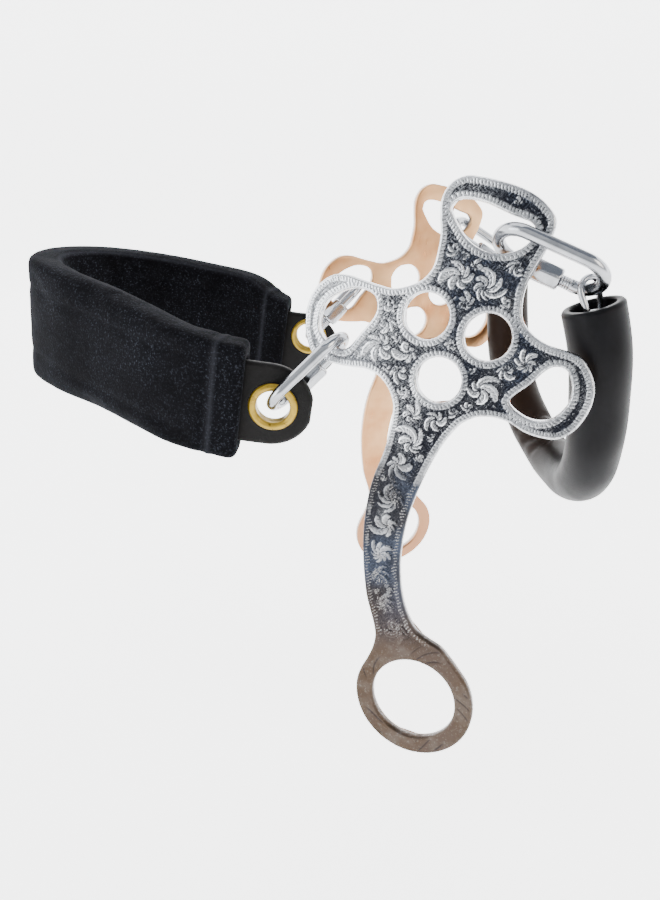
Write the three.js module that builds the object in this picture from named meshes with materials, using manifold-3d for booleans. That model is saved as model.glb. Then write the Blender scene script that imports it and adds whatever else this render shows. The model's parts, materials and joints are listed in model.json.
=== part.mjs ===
// Bitless mechanical hackamore: two flat steel cheeks, four screw quick links, a padded
// noseband and a curb made of a rubber tube over a link chain. Millimetres, +Z up.
// The noseband is at -X, the curb at +X, the horse's left side at -Y.
import * as THREE from 'three';
import { mergeVertices } from 'three/addons/utils/BufferGeometryUtils.js';
import Module from 'manifold-3d';

// Cheeks: flat plates, seen in their own plane as u (towards the curb) and v (up from the rein ring)
const CHEEK_THICKNESS = 3.4;
const CHEEK_SPREAD = 139;
const CHEEK_TOE_IN = THREE.MathUtils.degToRad(20.4);
const CHEEK_LEAN_IN = THREE.MathUtils.degToRad(6.5);
const CHEEK_OUTLINE_STEPS = 112;
const RING_OUTER_RADIUS = 21.8;
const RING_INNER_RADIUS = 15.4;
const RING_FIRST_ANGLE = 146;
const RING_LAST_ANGLE = 408;
const RING_ARC_STEPS = 12;
const LIGHTENING_HOLE_RADIUS = 7.4;
const LIGHTENING_HOLES = [[-5, 137.2], [14.8, 131.8], [0.5, 117.1]];
const CHEEK_SIDES = [
  [8, 22.8], [0, 26.5], [-5.5, 35.5], [-8.2, 50], [-7.2, 66], [-2.5, 82.5], [5, 98.5], [12, 105.7],
  [21.5, 106.6], [31, 102.6], [40, 102.6], [45.8, 109], [47.8, 118.5], [43, 127.5], [32.5, 130.9],
  [25.3, 136.5], [24.4, 146], [29.3, 158], [31.4, 166.4], [25, 173.3], [13, 177.8], [2, 178.7],
  [-2.8, 173], [-2.5, 160.5], [-5.4, 150], [-16, 145.4], [-27, 147.6], [-36, 149.3], [-44, 144.2],
  [-47.2, 134], [-44.2, 122.7], [-34.5, 119.3], [-21.5, 117.8], [-14.7, 109.5], [-15.8, 94],
  [-20.5, 78.5], [-22.3, 60.5], [-20.2, 39], [-15.6, 21.5],
];
const HEADSTALL_SLOT = [
  [0.4, 170], [2.5, 172.3], [9, 171.8], [18, 168.2], [25.7, 164.6], [24.6, 160.6], [20, 157.5],
  [13, 157.1], [6.5, 160.4], [2.5, 165.5],
];
const FRONT_SLOT = [
  [-38.3, 141.2], [-29.5, 144.9], [-22.8, 142.8], [-21.9, 137.6], [-27, 130.4], [-32.3, 124.7],
  [-37.8, 126], [-41.6, 131], [-41.3, 136.6],
];
const REAR_SLOT = [
  [23.3, 112.3], [29, 118.3], [35, 124.1], [39.2, 123.6], [41.4, 117.5], [40.2, 112.5],
  [36, 108.1], [30.5, 107.5], [25.6, 109.8],
];
const SLOT_STEPS = 22;

// Screw quick links: a C of round wire whose gap is bridged by a hexagonal sleeve nut
const LINK_WIRE_RADIUS = 2;
const LINK_PITCH = 33.4;
const LINK_BEND_RADIUS = 7.2;
const LINK_GAP_START = -3.8;
const LINK_GAP_END = 0.3;
const NUT_LENGTH = 9.8;
const NUT_START = -4.2;
const NUT_ACROSS_FLATS = 6.6;
const NUT_BORE_RADIUS = 2.45;

// Each quick link hangs in a cheek's slot: its seat there (u, v), the heading that it takes from u
// towards v, how steeply it leaves the plate outwards, and its roll about its own length
const LINK_PLACES = {
  left_nose: { side: -1, seat: [-33.7, 128.3], heading: 228, slope: 0.25, roll: 20 },
  right_nose: { side: 1, seat: [-27.3, 136.85], heading: 225.5, slope: 0.04, roll: 4 },
  left_curb: { side: -1, seat: [15.3, 161.9], heading: -22.5, slope: -0.09, roll: 33 },
  right_curb: { side: 1, seat: [18.9, 161.4], heading: -30, slope: -0.15, roll: 30 },
};

// Noseband: a leather strap in a tilted plane, inside a padded sleeve that leaves its tongues bare
const NOSEBAND_FRONT_HEIGHT = 126;
const NOSEBAND_BEND = [
  [-72, 48.5], [-94, 52.5], [-118, 51], [-139, 42], [-151.5, 25], [-151, 8.5], [-138.5, -4],
  [-118, -17.5], [-99, -31], [-83, -41.5],
];
const NOSEBAND_FRONT_POINT = 5;
const TONGUE_LENGTH = 13.5;
const TONGUE_HEADINGS = { right: -4, left: 0 };
const TONGUE_DROP = { right: 5, left: 0 };
const STRAP_WIDTH = 30;
const STRAP_THICKNESS = 3.2;
const TONGUE_STEPS = 7;
const SLEEVE_WIDTH = 42;
const SLEEVE_WIDENING = 8;
const SLEEVE_THICKNESS = 12.4;
const SLEEVE_END_FROM_EYELET = 10.5;
const SLEEVE_STEPS = 30;
const FIT_GAP = 0.55;

// Eyelets: a flanged barrel on the outer face of each tongue and a washer inside
const EYELET_BORE_RADIUS = 5.9;
const EYELET_BARREL_RADIUS = 6.7;
const EYELET_FLANGE_RADIUS = 8.7;
const EYELET_FLANGE_THICKNESS = 1;
const EYELET_SEAT_GAP = 0.55;

// Curb: a rubber tube with a chain of alternating links running through it
const TUBE_RADIUS = 9.7;
const TUBE_BORE_RADIUS = 7.1;
const TUBE_STEPS = 36;
const TUBE_MOUTH_FROM_HOOK = 5.2;
const TUBE_ROUTE = [
  [53.5, -61.5, 128], [57.5, -56, 110], [60.5, -49, 93], [63.5, -37, 77.5], [66, -19, 67],
  [67, 2, 62.5], [65.5, 22, 64], [61.5, 38, 72], [56.3, 48, 85], [52.3, 54, 101], [51, 58.3, 118],
];
const CHAIN_WIRE_RADIUS = 1.15;
const CHAIN_BEND_RADIUS = 4;
const CHAIN_CLEARANCE = 0.7;
const CHAIN_LINK_COUNT = 22;
const HOOK_CLEARANCE = 0.45;

const steel = { color: 0xc9ccd0, roughness: 0.22, metalness: 1 };
const warmSteel = { color: 0xcbbfb4, roughness: 0.3, metalness: 1 };
const brass = { color: 0xc79a2a, roughness: 0.35, metalness: 1 };
const leather = { color: 0x141210, roughness: 0.65, metalness: 0 };
const velvet = { color: 0x0c0d12, roughness: 0.95, metalness: 0 };
const rubber = { color: 0x17181a, roughness: 0.4, metalness: 0 };

const wasm = await Module();
wasm.setup();

function toSolid(geometry) {
  const bare = geometry.clone();
  bare.deleteAttribute('normal');
  bare.deleteAttribute('uv');
  const merged = mergeVertices(bare, 1e-4);
  const vertProperties = new Float32Array(merged.attributes.position.array);
  const triVerts = new Uint32Array(merged.index.array);
  return new wasm.Manifold(new wasm.Mesh({ numProp: 3, vertProperties, triVerts }));
}

function toGeometry(solid) {
  const { vertProperties, triVerts } = solid.getMesh();
  const geometry = new THREE.BufferGeometry();
  geometry.setAttribute('position', new THREE.BufferAttribute(vertProperties, 3));
  geometry.setIndex(new THREE.BufferAttribute(triVerts, 1));
  geometry.computeVertexNormals();
  return geometry;
}

function makeMesh(name, geometry, finish) {
  const mesh = new THREE.Mesh(geometry, new THREE.MeshStandardMaterial(finish));
  mesh.name = name;
  return mesh;
}

// A smooth closed loop through a few points, as evenly spaced 2-D points
function smoothLoop(points, steps) {
  const knots = points.map(([u, v]) => new THREE.Vector3(u, v, 0));
  const loop = new THREE.CatmullRomCurve3(knots, true, 'centripetal');
  return loop.getSpacedPoints(steps).slice(0, steps).map((p) => new THREE.Vector2(p.x, p.y));
}

function ringArc() {
  const points = [];
  for (let i = 0; i <= RING_ARC_STEPS; i += 1) {
    const degrees = RING_FIRST_ANGLE + ((RING_LAST_ANGLE - RING_FIRST_ANGLE) * i) / RING_ARC_STEPS;
    const angle = THREE.MathUtils.degToRad(degrees);
    points.push([RING_OUTER_RADIUS * Math.cos(angle), RING_OUTER_RADIUS * Math.sin(angle)]);
  }
  return points;
}

// The cheek's frame: u forward to back, v up the plate, w out through its outer face. side is -1 or 1.
function cheekAxes(side) {
  const u = new THREE.Vector3(Math.cos(CHEEK_TOE_IN), side * Math.sin(CHEEK_TOE_IN), 0);
  const w = new THREE.Vector3(
    -Math.sin(CHEEK_TOE_IN) * Math.cos(CHEEK_LEAN_IN),
    side * Math.cos(CHEEK_TOE_IN) * Math.cos(CHEEK_LEAN_IN),
    Math.sin(CHEEK_LEAN_IN),
  );
  const v = new THREE.Vector3().crossVectors(u, w).multiplyScalar(side);
  return { u, v, w };
}

function onCheek(side, [u, v]) {
  const axes = cheekAxes(side);
  const point = new THREE.Vector3(0, (side * CHEEK_SPREAD) / 2, 0);
  return point.addScaledVector(axes.u, u).addScaledVector(axes.v, v);
}

function cheekGeometry() {
  const outline = new THREE.Shape(smoothLoop([...ringArc(), ...CHEEK_SIDES], CHEEK_OUTLINE_STEPS));
  for (const slot of [HEADSTALL_SLOT, FRONT_SLOT, REAR_SLOT]) {
    outline.holes.push(new THREE.Path(smoothLoop(slot, SLOT_STEPS)));
  }
  for (const [u, v] of LIGHTENING_HOLES) {
    outline.holes.push(new THREE.Path().absarc(u, v, LIGHTENING_HOLE_RADIUS, 0, 2 * Math.PI, true));
  }
  outline.holes.push(new THREE.Path().absarc(0, 0, RING_INNER_RADIUS, 0, 2 * Math.PI, true));
  const options = { depth: CHEEK_THICKNESS, bevelEnabled: false, curveSegments: 22 };
  return new THREE.ExtrudeGeometry(outline, options).translate(0, 0, -CHEEK_THICKNESS / 2);
}

function makeCheek(name, side) {
  const mesh = makeMesh(name, cheekGeometry(), side < 0 ? steel : warmSteel);
  const axes = cheekAxes(side);
  const normal = new THREE.Vector3().crossVectors(axes.u, axes.v);
  mesh.quaternion.setFromRotationMatrix(new THREE.Matrix4().makeBasis(axes.u, axes.v, normal));
  mesh.position.copy(onCheek(side, [0, 0]));
  return mesh;
}

// A stadium's centre line in the XY plane, from x = 0 to x = pitch, open between gapStart and gapEnd
// on its rod at y = -bend. The gap is measured from the middle of that rod.
class LinkCurve extends THREE.Curve {
  constructor(pitch, bend, gapStart, gapEnd) {
    super();
    this.bend = bend;
    this.half = pitch / 2 - bend;
    this.middle = pitch / 2;
    this.first = gapEnd;
    this.arc = Math.PI * bend;
    this.total = 4 * this.half + 2 * this.arc - (gapEnd - gapStart);
  }

  getPoint(t, target = new THREE.Vector3()) {
    let run = t * this.total;
    if (run <= this.half - this.first) {
      return target.set(this.middle + this.first + run, -this.bend, 0);
    }
    run -= this.half - this.first;
    if (run <= this.arc) {
      const angle = run / this.bend - Math.PI / 2;
      const x = this.middle + this.half + this.bend * Math.cos(angle);
      return target.set(x, this.bend * Math.sin(angle), 0);
    }
    run -= this.arc;
    if (run <= 2 * this.half) {
      return target.set(this.middle + this.half - run, this.bend, 0);
    }
    run -= 2 * this.half;
    if (run <= this.arc) {
      const angle = run / this.bend + Math.PI / 2;
      const x = this.middle - this.half + this.bend * Math.cos(angle);
      return target.set(x, this.bend * Math.sin(angle), 0);
    }
    run -= this.arc;
    return target.set(this.middle - this.half + run, -this.bend, 0);
  }
}

function circleShape(radius, sides) {
  const points = [];
  for (let i = 0; i < sides; i += 1) {
    const angle = (2 * Math.PI * i) / sides;
    points.push(new THREE.Vector2(radius * Math.cos(angle), radius * Math.sin(angle)));
  }
  return new THREE.Shape(points);
}

// A link's frame at its seat: x along the link, y from its nut rod to its plain rod. At no roll that
// is straight outwards, and the roll lifts it.
function linkFrame({ side, seat, heading, slope, roll }) {
  const axes = cheekAxes(side);
  const way = THREE.MathUtils.degToRad(heading);
  const x = axes.u.multiplyScalar(Math.cos(way)).addScaledVector(axes.v, Math.sin(way));
  x.addScaledVector(axes.w, slope).normalize();
  const outward = new THREE.Vector3(0, side, 0);
  outward.addScaledVector(x, -outward.dot(x)).normalize();
  const upward = new THREE.Vector3().crossVectors(x, outward);
  upward.multiplyScalar(Math.sign(upward.z));
  const lift = THREE.MathUtils.degToRad(roll);
  const y = outward.multiplyScalar(Math.cos(lift)).addScaledVector(upward, Math.sin(lift));
  const z = new THREE.Vector3().crossVectors(x, y);
  return new THREE.Matrix4().makeBasis(x, y, z).setPosition(onCheek(side, seat));
}

function makeLink(name, frame) {
  const wire = new LinkCurve(LINK_PITCH, LINK_BEND_RADIUS, LINK_GAP_START, LINK_GAP_END);
  const options = { steps: 34, extrudePath: wire };
  const mesh = makeMesh(name, new THREE.ExtrudeGeometry(circleShape(LINK_WIRE_RADIUS, 8), options), steel);
  mesh.applyMatrix4(frame);
  return mesh;
}

function makeNut(name, frame) {
  const hexagon = circleShape(NUT_ACROSS_FLATS / Math.sqrt(3), 6);
  hexagon.holes.push(new THREE.Path(circleShape(NUT_BORE_RADIUS, 16).getPoints().reverse()));
  const geometry = new THREE.ExtrudeGeometry(hexagon, { depth: NUT_LENGTH, bevelEnabled: false });
  geometry.rotateY(Math.PI / 2);
  geometry.translate(LINK_PITCH / 2 + NUT_START, -LINK_BEND_RADIUS, 0);
  const mesh = makeMesh(name, geometry, steel);
  mesh.applyMatrix4(frame);
  return mesh;
}

// The noseband lies in one plane, through both eyelets and the middle of its bend
function nosebandPlane(rightEyelet, leftEyelet) {
  const [x, y] = NOSEBAND_BEND[NOSEBAND_FRONT_POINT];
  const front = new THREE.Vector3(x, y, NOSEBAND_FRONT_HEIGHT);
  const plane = new THREE.Plane().setFromCoplanarPoints(rightEyelet, front, leftEyelet);
  if (plane.normal.z < 0) {
    plane.negate();
  }
  return plane;
}

// Its centre line, from the right tongue's tip round to the left one's
function nosebandRoute(plane, rightEyelet, leftEyelet) {
  const { normal, constant } = plane;
  const bend = NOSEBAND_BEND.map(([x, y]) => {
    const z = -(constant + normal.x * x + normal.y * y) / normal.z;
    return new THREE.Vector3(x, y, z);
  });
  const vertical = new THREE.Vector3(0, 0, 1);
  const tongue = (eyelet, heading, drop) => {
    const way = new THREE.Vector3(1, 0, 0).applyAxisAngle(vertical, THREE.MathUtils.degToRad(heading));
    way.projectOnPlane(normal).setLength(TONGUE_LENGTH);
    const middle = eyelet.clone().addScaledVector(normal, -drop);
    return [middle.clone().add(way), middle, middle.clone().sub(way)];
  };
  const right = tongue(rightEyelet, TONGUE_HEADINGS.right, TONGUE_DROP.right);
  const left = tongue(leftEyelet, TONGUE_HEADINGS.left, TONGUE_DROP.left);
  return new THREE.CatmullRomCurve3([...right, ...bend, ...left.reverse()], false, 'centripetal');
}

// Bends a straight bar (height along X, thickness along Y, length along Z) onto the route
function bendOnto(geometry, noseband, from, to, reshape) {
  const { route, up } = noseband;
  const place = geometry.attributes.position;
  const length = geometry.boundingBox.max.z;
  for (let i = 0; i < place.count; i += 1) {
    const { along, high, deep } = reshape(place.getZ(i) / length, place.getX(i), place.getY(i));
    const at = from + (to - from) * along;
    const tangent = route.getTangentAt(at);
    const across = new THREE.Vector3().crossVectors(tangent, up).normalize();
    const point = route.getPointAt(at).addScaledVector(up, high).addScaledVector(across, deep);
    place.setXYZ(i, point.x, point.y, point.z);
  }
  geometry.computeVertexNormals();
  return geometry;
}

function roundedBar(width, thickness, corner) {
  const shape = new THREE.Shape();
  const x = width / 2 - corner;
  const y = thickness / 2 - corner;
  shape.absarc(x, y, corner, 0, Math.PI / 2);
  shape.absarc(-x, y, corner, Math.PI / 2, Math.PI);
  shape.absarc(-x, -y, corner, Math.PI, 1.5 * Math.PI);
  shape.absarc(x, -y, corner, 1.5 * Math.PI, 2 * Math.PI);
  return shape;
}

function straightBar(shape, steps, curveSegments) {
  const options = { depth: 100, steps, bevelEnabled: false, curveSegments };
  const geometry = new THREE.ExtrudeGeometry(shape, options);
  geometry.computeBoundingBox();
  return geometry;
}

function eyeletFrame({ route, up }, eyelet, side) {
  const at = side > 0 ? TONGUE_LENGTH / route.getLength() : 1 - TONGUE_LENGTH / route.getLength();
  const along = route.getTangentAt(at);
  const outward = new THREE.Vector3().crossVectors(up, along).normalize();
  if (outward.y * side < 0) {
    outward.negate();
  }
  const turn = new THREE.Quaternion().setFromUnitVectors(new THREE.Vector3(0, 1, 0), outward);
  return new THREE.Matrix4().compose(eyelet, turn, new THREE.Vector3(1, 1, 1));
}

function lathe(points, segments) {
  const profile = points.map(([x, y]) => new THREE.Vector2(x, y));
  return new THREE.LatheGeometry([...profile, profile[0].clone()], segments);
}

function makeStrap(noseband, eyeletFrames) {
  const steps = SLEEVE_STEPS + 2 * TONGUE_STEPS;
  const bar = straightBar(roundedBar(STRAP_WIDTH, STRAP_THICKNESS, 1), steps, 1);
  const length = noseband.route.getLength();
  const bare = (TONGUE_LENGTH + SLEEVE_END_FROM_EYELET) / length;
  const tongueShare = STRAP_WIDTH / 2 / length;
  const reshape = (z, high, deep) => {
    const fromTip = Math.min(z, 1 - z) * steps;
    let run = bare * (fromTip / TONGUE_STEPS) ** 1.6;
    if (fromTip > TONGUE_STEPS) {
      run = bare + ((1 - 2 * bare) * (fromTip - TONGUE_STEPS)) / SLEEVE_STEPS;
    }
    const taper = Math.sqrt(1 - 0.93 * (1 - Math.min(run / tongueShare, 1)) ** 2);
    return { along: z < 0.5 ? run : 1 - run, high: high * taper, deep };
  };
  let solid = toSolid(bendOnto(bar, noseband, 0, 1, reshape));
  for (const frame of eyeletFrames) {
    const reach = 4 * STRAP_THICKNESS;
    const radius = EYELET_BARREL_RADIUS + FIT_GAP;
    const drill = new THREE.CylinderGeometry(radius, radius, reach, 24).applyMatrix4(frame);
    solid = solid.subtract(toSolid(drill));
  }
  return makeMesh('noseband_strap', toGeometry(solid), leather);
}

function makeSleeve(noseband) {
  const outside = roundedBar(SLEEVE_WIDTH, SLEEVE_THICKNESS, 4.6);
  const pocket = roundedBar(STRAP_WIDTH + 2 * FIT_GAP, STRAP_THICKNESS + 2 * FIT_GAP, 1);
  outside.holes.push(new THREE.Path(pocket.getPoints(1).slice(0, -1).reverse()));
  const bar = straightBar(outside, SLEEVE_STEPS, 3);
  const length = noseband.route.getLength();
  const end = (TONGUE_LENGTH + SLEEVE_END_FROM_EYELET) / length;
  const pocketEdge = STRAP_WIDTH / 2 + 1;
  const reshape = (along, high, deep) => {
    const wider = (SLEEVE_WIDENING / 2) * Math.sin(Math.PI * along) ** 1.5;
    const outer = Math.abs(high) > pocketEdge;
    return { along, high: outer ? high + Math.sign(high) * wider : high, deep };
  };
  return makeMesh('noseband_sleeve', bendOnto(bar, noseband, end, 1 - end, reshape), velvet);
}

function makeEyelet(name, frame) {
  const face = STRAP_THICKNESS / 2 + EYELET_SEAT_GAP;
  const top = face + EYELET_FLANGE_THICKNESS;
  const profile = [
    [EYELET_BORE_RADIUS, -face], [EYELET_BARREL_RADIUS, -face], [EYELET_BARREL_RADIUS, face],
    [EYELET_FLANGE_RADIUS, face], [EYELET_FLANGE_RADIUS, face + 0.5], [EYELET_FLANGE_RADIUS - 0.9, top],
    [EYELET_BORE_RADIUS + 0.8, top], [EYELET_BORE_RADIUS, top - 0.6],
  ];
  const mesh = makeMesh(name, lathe(profile, 24), brass);
  mesh.applyMatrix4(frame);
  return mesh;
}

function makeEyeletWasher(name, frame) {
  const face = STRAP_THICKNESS / 2 + EYELET_SEAT_GAP;
  const bore = EYELET_BORE_RADIUS;
  const profile = [
    [bore, -face - 0.8], [EYELET_FLANGE_RADIUS - 0.5, -face - 0.8], [EYELET_FLANGE_RADIUS - 0.5, -face],
    [EYELET_BARREL_RADIUS + FIT_GAP, -face], [EYELET_BARREL_RADIUS, -face - FIT_GAP],
    [bore, -face - FIT_GAP],
  ];
  const mesh = makeMesh(name, lathe(profile, 24), brass);
  mesh.applyMatrix4(frame);
  return mesh;
}

function makeTube(route) {
  const ring = circleShape(TUBE_RADIUS, 16);
  ring.holes.push(new THREE.Path(circleShape(TUBE_BORE_RADIUS, 12).getPoints().reverse()));
  const options = { steps: TUBE_STEPS, extrudePath: route, curveSegments: 3 };
  return makeMesh('curb_tube', new THREE.ExtrudeGeometry(ring, options), rubber);
}

// One chain link around the origin: a ring of round wire stretched along X, flat in the XY plane
function chainLinkGeometry(length) {
  const geometry = new THREE.TorusGeometry(CHAIN_BEND_RADIUS, CHAIN_WIRE_RADIUS, 6, 14);
  const stretch = length / 2 - CHAIN_BEND_RADIUS;
  const place = geometry.attributes.position;
  for (let i = 0; i < place.count; i += 1) {
    const x = place.getX(i);
    const share = THREE.MathUtils.clamp(x, -1, 1);
    place.setX(i, x + stretch * share);
  }
  geometry.computeVertexNormals();
  return geometry;
}

// The chain's links along the route, each turned a quarter against the last. The first and the last
// lie square to the wires that they hang on, so the spare twist is shared out between them.
function makeChain(route, firstWire, lastWire) {
  const grip = LINK_WIRE_RADIUS + CHAIN_WIRE_RADIUS + HOOK_CLEARANCE;
  const overlap = 2 * CHAIN_WIRE_RADIUS + CHAIN_CLEARANCE;
  const pitch = (route.getLength() + 2 * grip - overlap) / CHAIN_LINK_COUNT;
  const length = pitch + overlap;
  const start = length / 2 - grip;
  const stations = [];
  for (let i = 0; i < CHAIN_LINK_COUNT; i += 1) {
    stations.push((start + i * pitch) / route.getLength());
  }
  const frames = carriedFrames(route, stations);
  const angleOf = (wire, frame) => Math.atan2(wire.dot(frame.side), wire.dot(frame.normal));
  const firstAngle = angleOf(firstWire, frames[0]);
  const lastAngle = angleOf(lastWire, frames[frames.length - 1]);
  const quarters = ((CHAIN_LINK_COUNT - 1) * Math.PI) / 2;
  const spare = lastAngle - firstAngle - quarters;
  const twist = (spare - Math.PI * Math.round(spare / Math.PI) + quarters) / (CHAIN_LINK_COUNT - 1);
  return frames.map((frame, i) => {
    const angle = firstAngle + i * twist;
    const z = frame.normal.clone().multiplyScalar(Math.cos(angle));
    z.addScaledVector(frame.side, Math.sin(angle));
    const y = new THREE.Vector3().crossVectors(z, frame.tangent);
    const basis = new THREE.Matrix4().makeBasis(frame.tangent, y, z).setPosition(frame.point);
    const number = String(i + 1).padStart(2, '0');
    const mesh = makeMesh(`curb_chain_link_${number}`, chainLinkGeometry(length), steel);
    mesh.applyMatrix4(basis);
    return mesh;
  });
}

// Frames along a route that turn with it but don't twist about it
function carriedFrames(route, stations) {
  let normal = new THREE.Vector3(0, 0, 1);
  return stations.map((at) => {
    const tangent = route.getTangentAt(at);
    normal = normal.clone().addScaledVector(tangent, -normal.dot(tangent)).normalize();
    const side = new THREE.Vector3().crossVectors(tangent, normal);
    return { point: route.getPointAt(at), tangent, normal, side };
  });
}

const root = new THREE.Group();
root.add(makeCheek('left_cheek', -1));
root.add(makeCheek('right_cheek', 1));

const farEnd = {};
for (const [place, plan] of Object.entries(LINK_PLACES)) {
  const frame = linkFrame(plan);
  farEnd[place] = new THREE.Vector3(LINK_PITCH, 0, 0).applyMatrix4(frame);
  root.add(makeLink(`${place}_link`, frame));
  root.add(makeNut(`${place}_link_nut`, frame));
}

const nosePlane = nosebandPlane(farEnd.right_nose, farEnd.left_nose);
const noseRoute = nosebandRoute(nosePlane, farEnd.right_nose, farEnd.left_nose);
const noseband = { route: noseRoute, up: nosePlane.normal };
const eyeletFrames = {
  left: eyeletFrame(noseband, farEnd.left_nose, -1),
  right: eyeletFrame(noseband, farEnd.right_nose, 1),
};
root.add(makeStrap(noseband, Object.values(eyeletFrames)));
root.add(makeSleeve(noseband));
for (const [side, frame] of Object.entries(eyeletFrames)) {
  root.add(makeEyelet(`${side}_eyelet`, frame));
  root.add(makeEyeletWasher(`${side}_eyelet_washer`, frame));
}

// The curb hangs from the low side of each curb link's end bend, where the wire lies square to it
function curbHook(place, towards) {
  const frame = linkFrame(LINK_PLACES[place]);
  const bendCentre = new THREE.Vector3(LINK_PITCH - LINK_BEND_RADIUS, 0, 0).applyMatrix4(frame);
  const flat = new THREE.Vector3().setFromMatrixColumn(frame, 2);
  const fall = towards.clone().sub(bendCentre).projectOnPlane(flat).normalize();
  const wire = new THREE.Vector3().crossVectors(flat, fall);
  return { point: bendCentre.addScaledVector(fall, LINK_BEND_RADIUS), wire };
}

const tubeRoute = TUBE_ROUTE.map((point) => new THREE.Vector3(...point));
const leftHook = curbHook('left_curb', tubeRoute[0]);
const rightHook = curbHook('right_curb', tubeRoute[tubeRoute.length - 1]);
const curbRoutePoints = [leftHook.point, ...tubeRoute, rightHook.point];
const curbRoute = new THREE.CatmullRomCurve3(curbRoutePoints, false, 'centripetal');
const mouthShare = TUBE_MOUTH_FROM_HOOK / curbRoute.getLength();
const tubePoints = [];
for (let i = 0; i <= TUBE_STEPS; i += 1) {
  tubePoints.push(curbRoute.getPointAt(mouthShare + ((1 - 2 * mouthShare) * i) / TUBE_STEPS));
}
root.add(makeTube(new THREE.CatmullRomCurve3(tubePoints, false, 'centripetal')));
root.add(...makeChain(curbRoute, leftHook.wire, rightHook.wire));

// The origin is where the horse's nose bears: the sleeve's inner face, halfway round
const front = noseRoute.getPointAt(0.5);
const bearing = new THREE.Vector3().crossVectors(noseRoute.getTangentAt(0.5), nosePlane.normal);
bearing.setLength((Math.sign(bearing.x) * SLEEVE_THICKNESS) / 2).add(front);
for (const mesh of root.children) {
  mesh.position.sub(bearing);
}

export default root;
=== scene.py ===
import json
import math

import bpy
import numpy as np
from mathutils import Matrix, Vector, kdtree
from mathutils.geometry import delaunay_2d_cdt


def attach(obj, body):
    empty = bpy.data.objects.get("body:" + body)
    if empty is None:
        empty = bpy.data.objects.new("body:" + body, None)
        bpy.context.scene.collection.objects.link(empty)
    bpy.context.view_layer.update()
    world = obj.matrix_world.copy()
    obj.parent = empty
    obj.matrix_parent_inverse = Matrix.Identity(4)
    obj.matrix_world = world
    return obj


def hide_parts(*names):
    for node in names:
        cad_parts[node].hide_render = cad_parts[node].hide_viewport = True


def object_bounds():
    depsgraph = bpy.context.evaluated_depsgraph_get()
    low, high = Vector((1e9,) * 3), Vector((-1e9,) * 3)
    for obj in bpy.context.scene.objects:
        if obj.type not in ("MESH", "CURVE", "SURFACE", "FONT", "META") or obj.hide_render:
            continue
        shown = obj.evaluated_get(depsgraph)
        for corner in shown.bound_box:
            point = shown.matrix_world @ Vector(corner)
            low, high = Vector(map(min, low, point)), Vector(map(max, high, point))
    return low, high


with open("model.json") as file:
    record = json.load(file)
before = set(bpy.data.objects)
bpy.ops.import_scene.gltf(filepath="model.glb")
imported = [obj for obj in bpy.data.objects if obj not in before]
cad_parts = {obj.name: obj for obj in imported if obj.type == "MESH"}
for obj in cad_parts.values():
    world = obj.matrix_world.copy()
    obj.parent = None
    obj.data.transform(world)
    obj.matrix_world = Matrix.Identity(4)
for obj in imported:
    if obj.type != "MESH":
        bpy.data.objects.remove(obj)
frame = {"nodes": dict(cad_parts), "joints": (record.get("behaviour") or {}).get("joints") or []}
CAD_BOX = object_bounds()
NODES = frame["nodes"]
JOINTS = {joint["name"]: joint for joint in frame["joints"]}
SIDES = {"left": -1, "right": 1}
MM = 0.001
CURVE_SUBDIVISIONS = 24

# ---------------------------------------------------------------- points, curves and meshes


def unit(vector):
    return vector / np.linalg.norm(vector)


def units(rows):
    return rows / np.linalg.norm(rows, axis=1)[:, None]


def ease(value, low, high):
    """0 below low, 1 above high, and smooth between."""
    t = np.clip((value - low) / (high - low), 0, 1)
    return t * t * (3 - 2 * t)


def hump(away, width):
    """1 in the middle of a ridge, falling off with the distance from it."""
    return np.exp(-((away / width) ** 2))


def full_turn(steps):
    return np.linspace(0, 2 * math.pi, steps, endpoint=False)


def node_points(name):
    mesh = NODES[name].data
    points = np.empty(3 * len(mesh.vertices))
    mesh.vertices.foreach_get("co", points)
    return points.reshape(-1, 3)


def joint_point(name):
    return np.array(JOINTS[name]["pos_m"])


def smooth_curve(knots, spacing, closed=False):
    """A centripetal Catmull-Rom curve through the knots, as evenly spaced points."""
    knots = np.asarray(knots, float)
    if closed:
        ring = np.vstack([knots[-1], knots, knots[0], knots[1]])
    else:
        ring = np.vstack([2 * knots[0] - knots[1], knots, 2 * knots[-1] - knots[-2]])
    p0, p1, p2, p3 = ring[:-3], ring[1:-2], ring[2:-1], ring[3:]
    steps = (p1 - p0, p2 - p1, p3 - p2)
    d1, d2, d3 = (np.sqrt(np.linalg.norm(step, axis=1))[:, None] for step in steps)
    m1 = (p2 - p1) + d2 * ((p1 - p0) / d1 - (p2 - p0) / (d1 + d2))
    m2 = (p2 - p1) + d2 * ((p3 - p2) / d3 - (p3 - p1) / (d2 + d3))
    pieces = []
    for t in np.linspace(0, 1, CURVE_SUBDIVISIONS, endpoint=False):
        a = 2 * t**3 - 3 * t**2 + 1
        b = t**3 - 2 * t**2 + t
        c = 3 * t**2 - 2 * t**3
        d = t**3 - t**2
        pieces.append(a * p1 + b * m1 + c * p2 + d * m2)
    dense = np.stack(pieces, axis=1).reshape(-1, knots.shape[1])
    dense = np.vstack([dense, knots[0] if closed else knots[-1]])
    return resample(dense, spacing, closed)


def distance_along(points):
    return np.concatenate([[0], np.cumsum(np.linalg.norm(np.diff(points, axis=0), axis=1))])


def resample(points, spacing, closed=False):
    run = distance_along(points)
    count = max(int(round(run[-1] / spacing)), 3)
    at = np.linspace(0, run[-1], count + 1)
    if closed:
        at = at[:-1]
    return np.stack([np.interp(at, run, points[:, k]) for k in range(points.shape[1])], axis=1)


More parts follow.
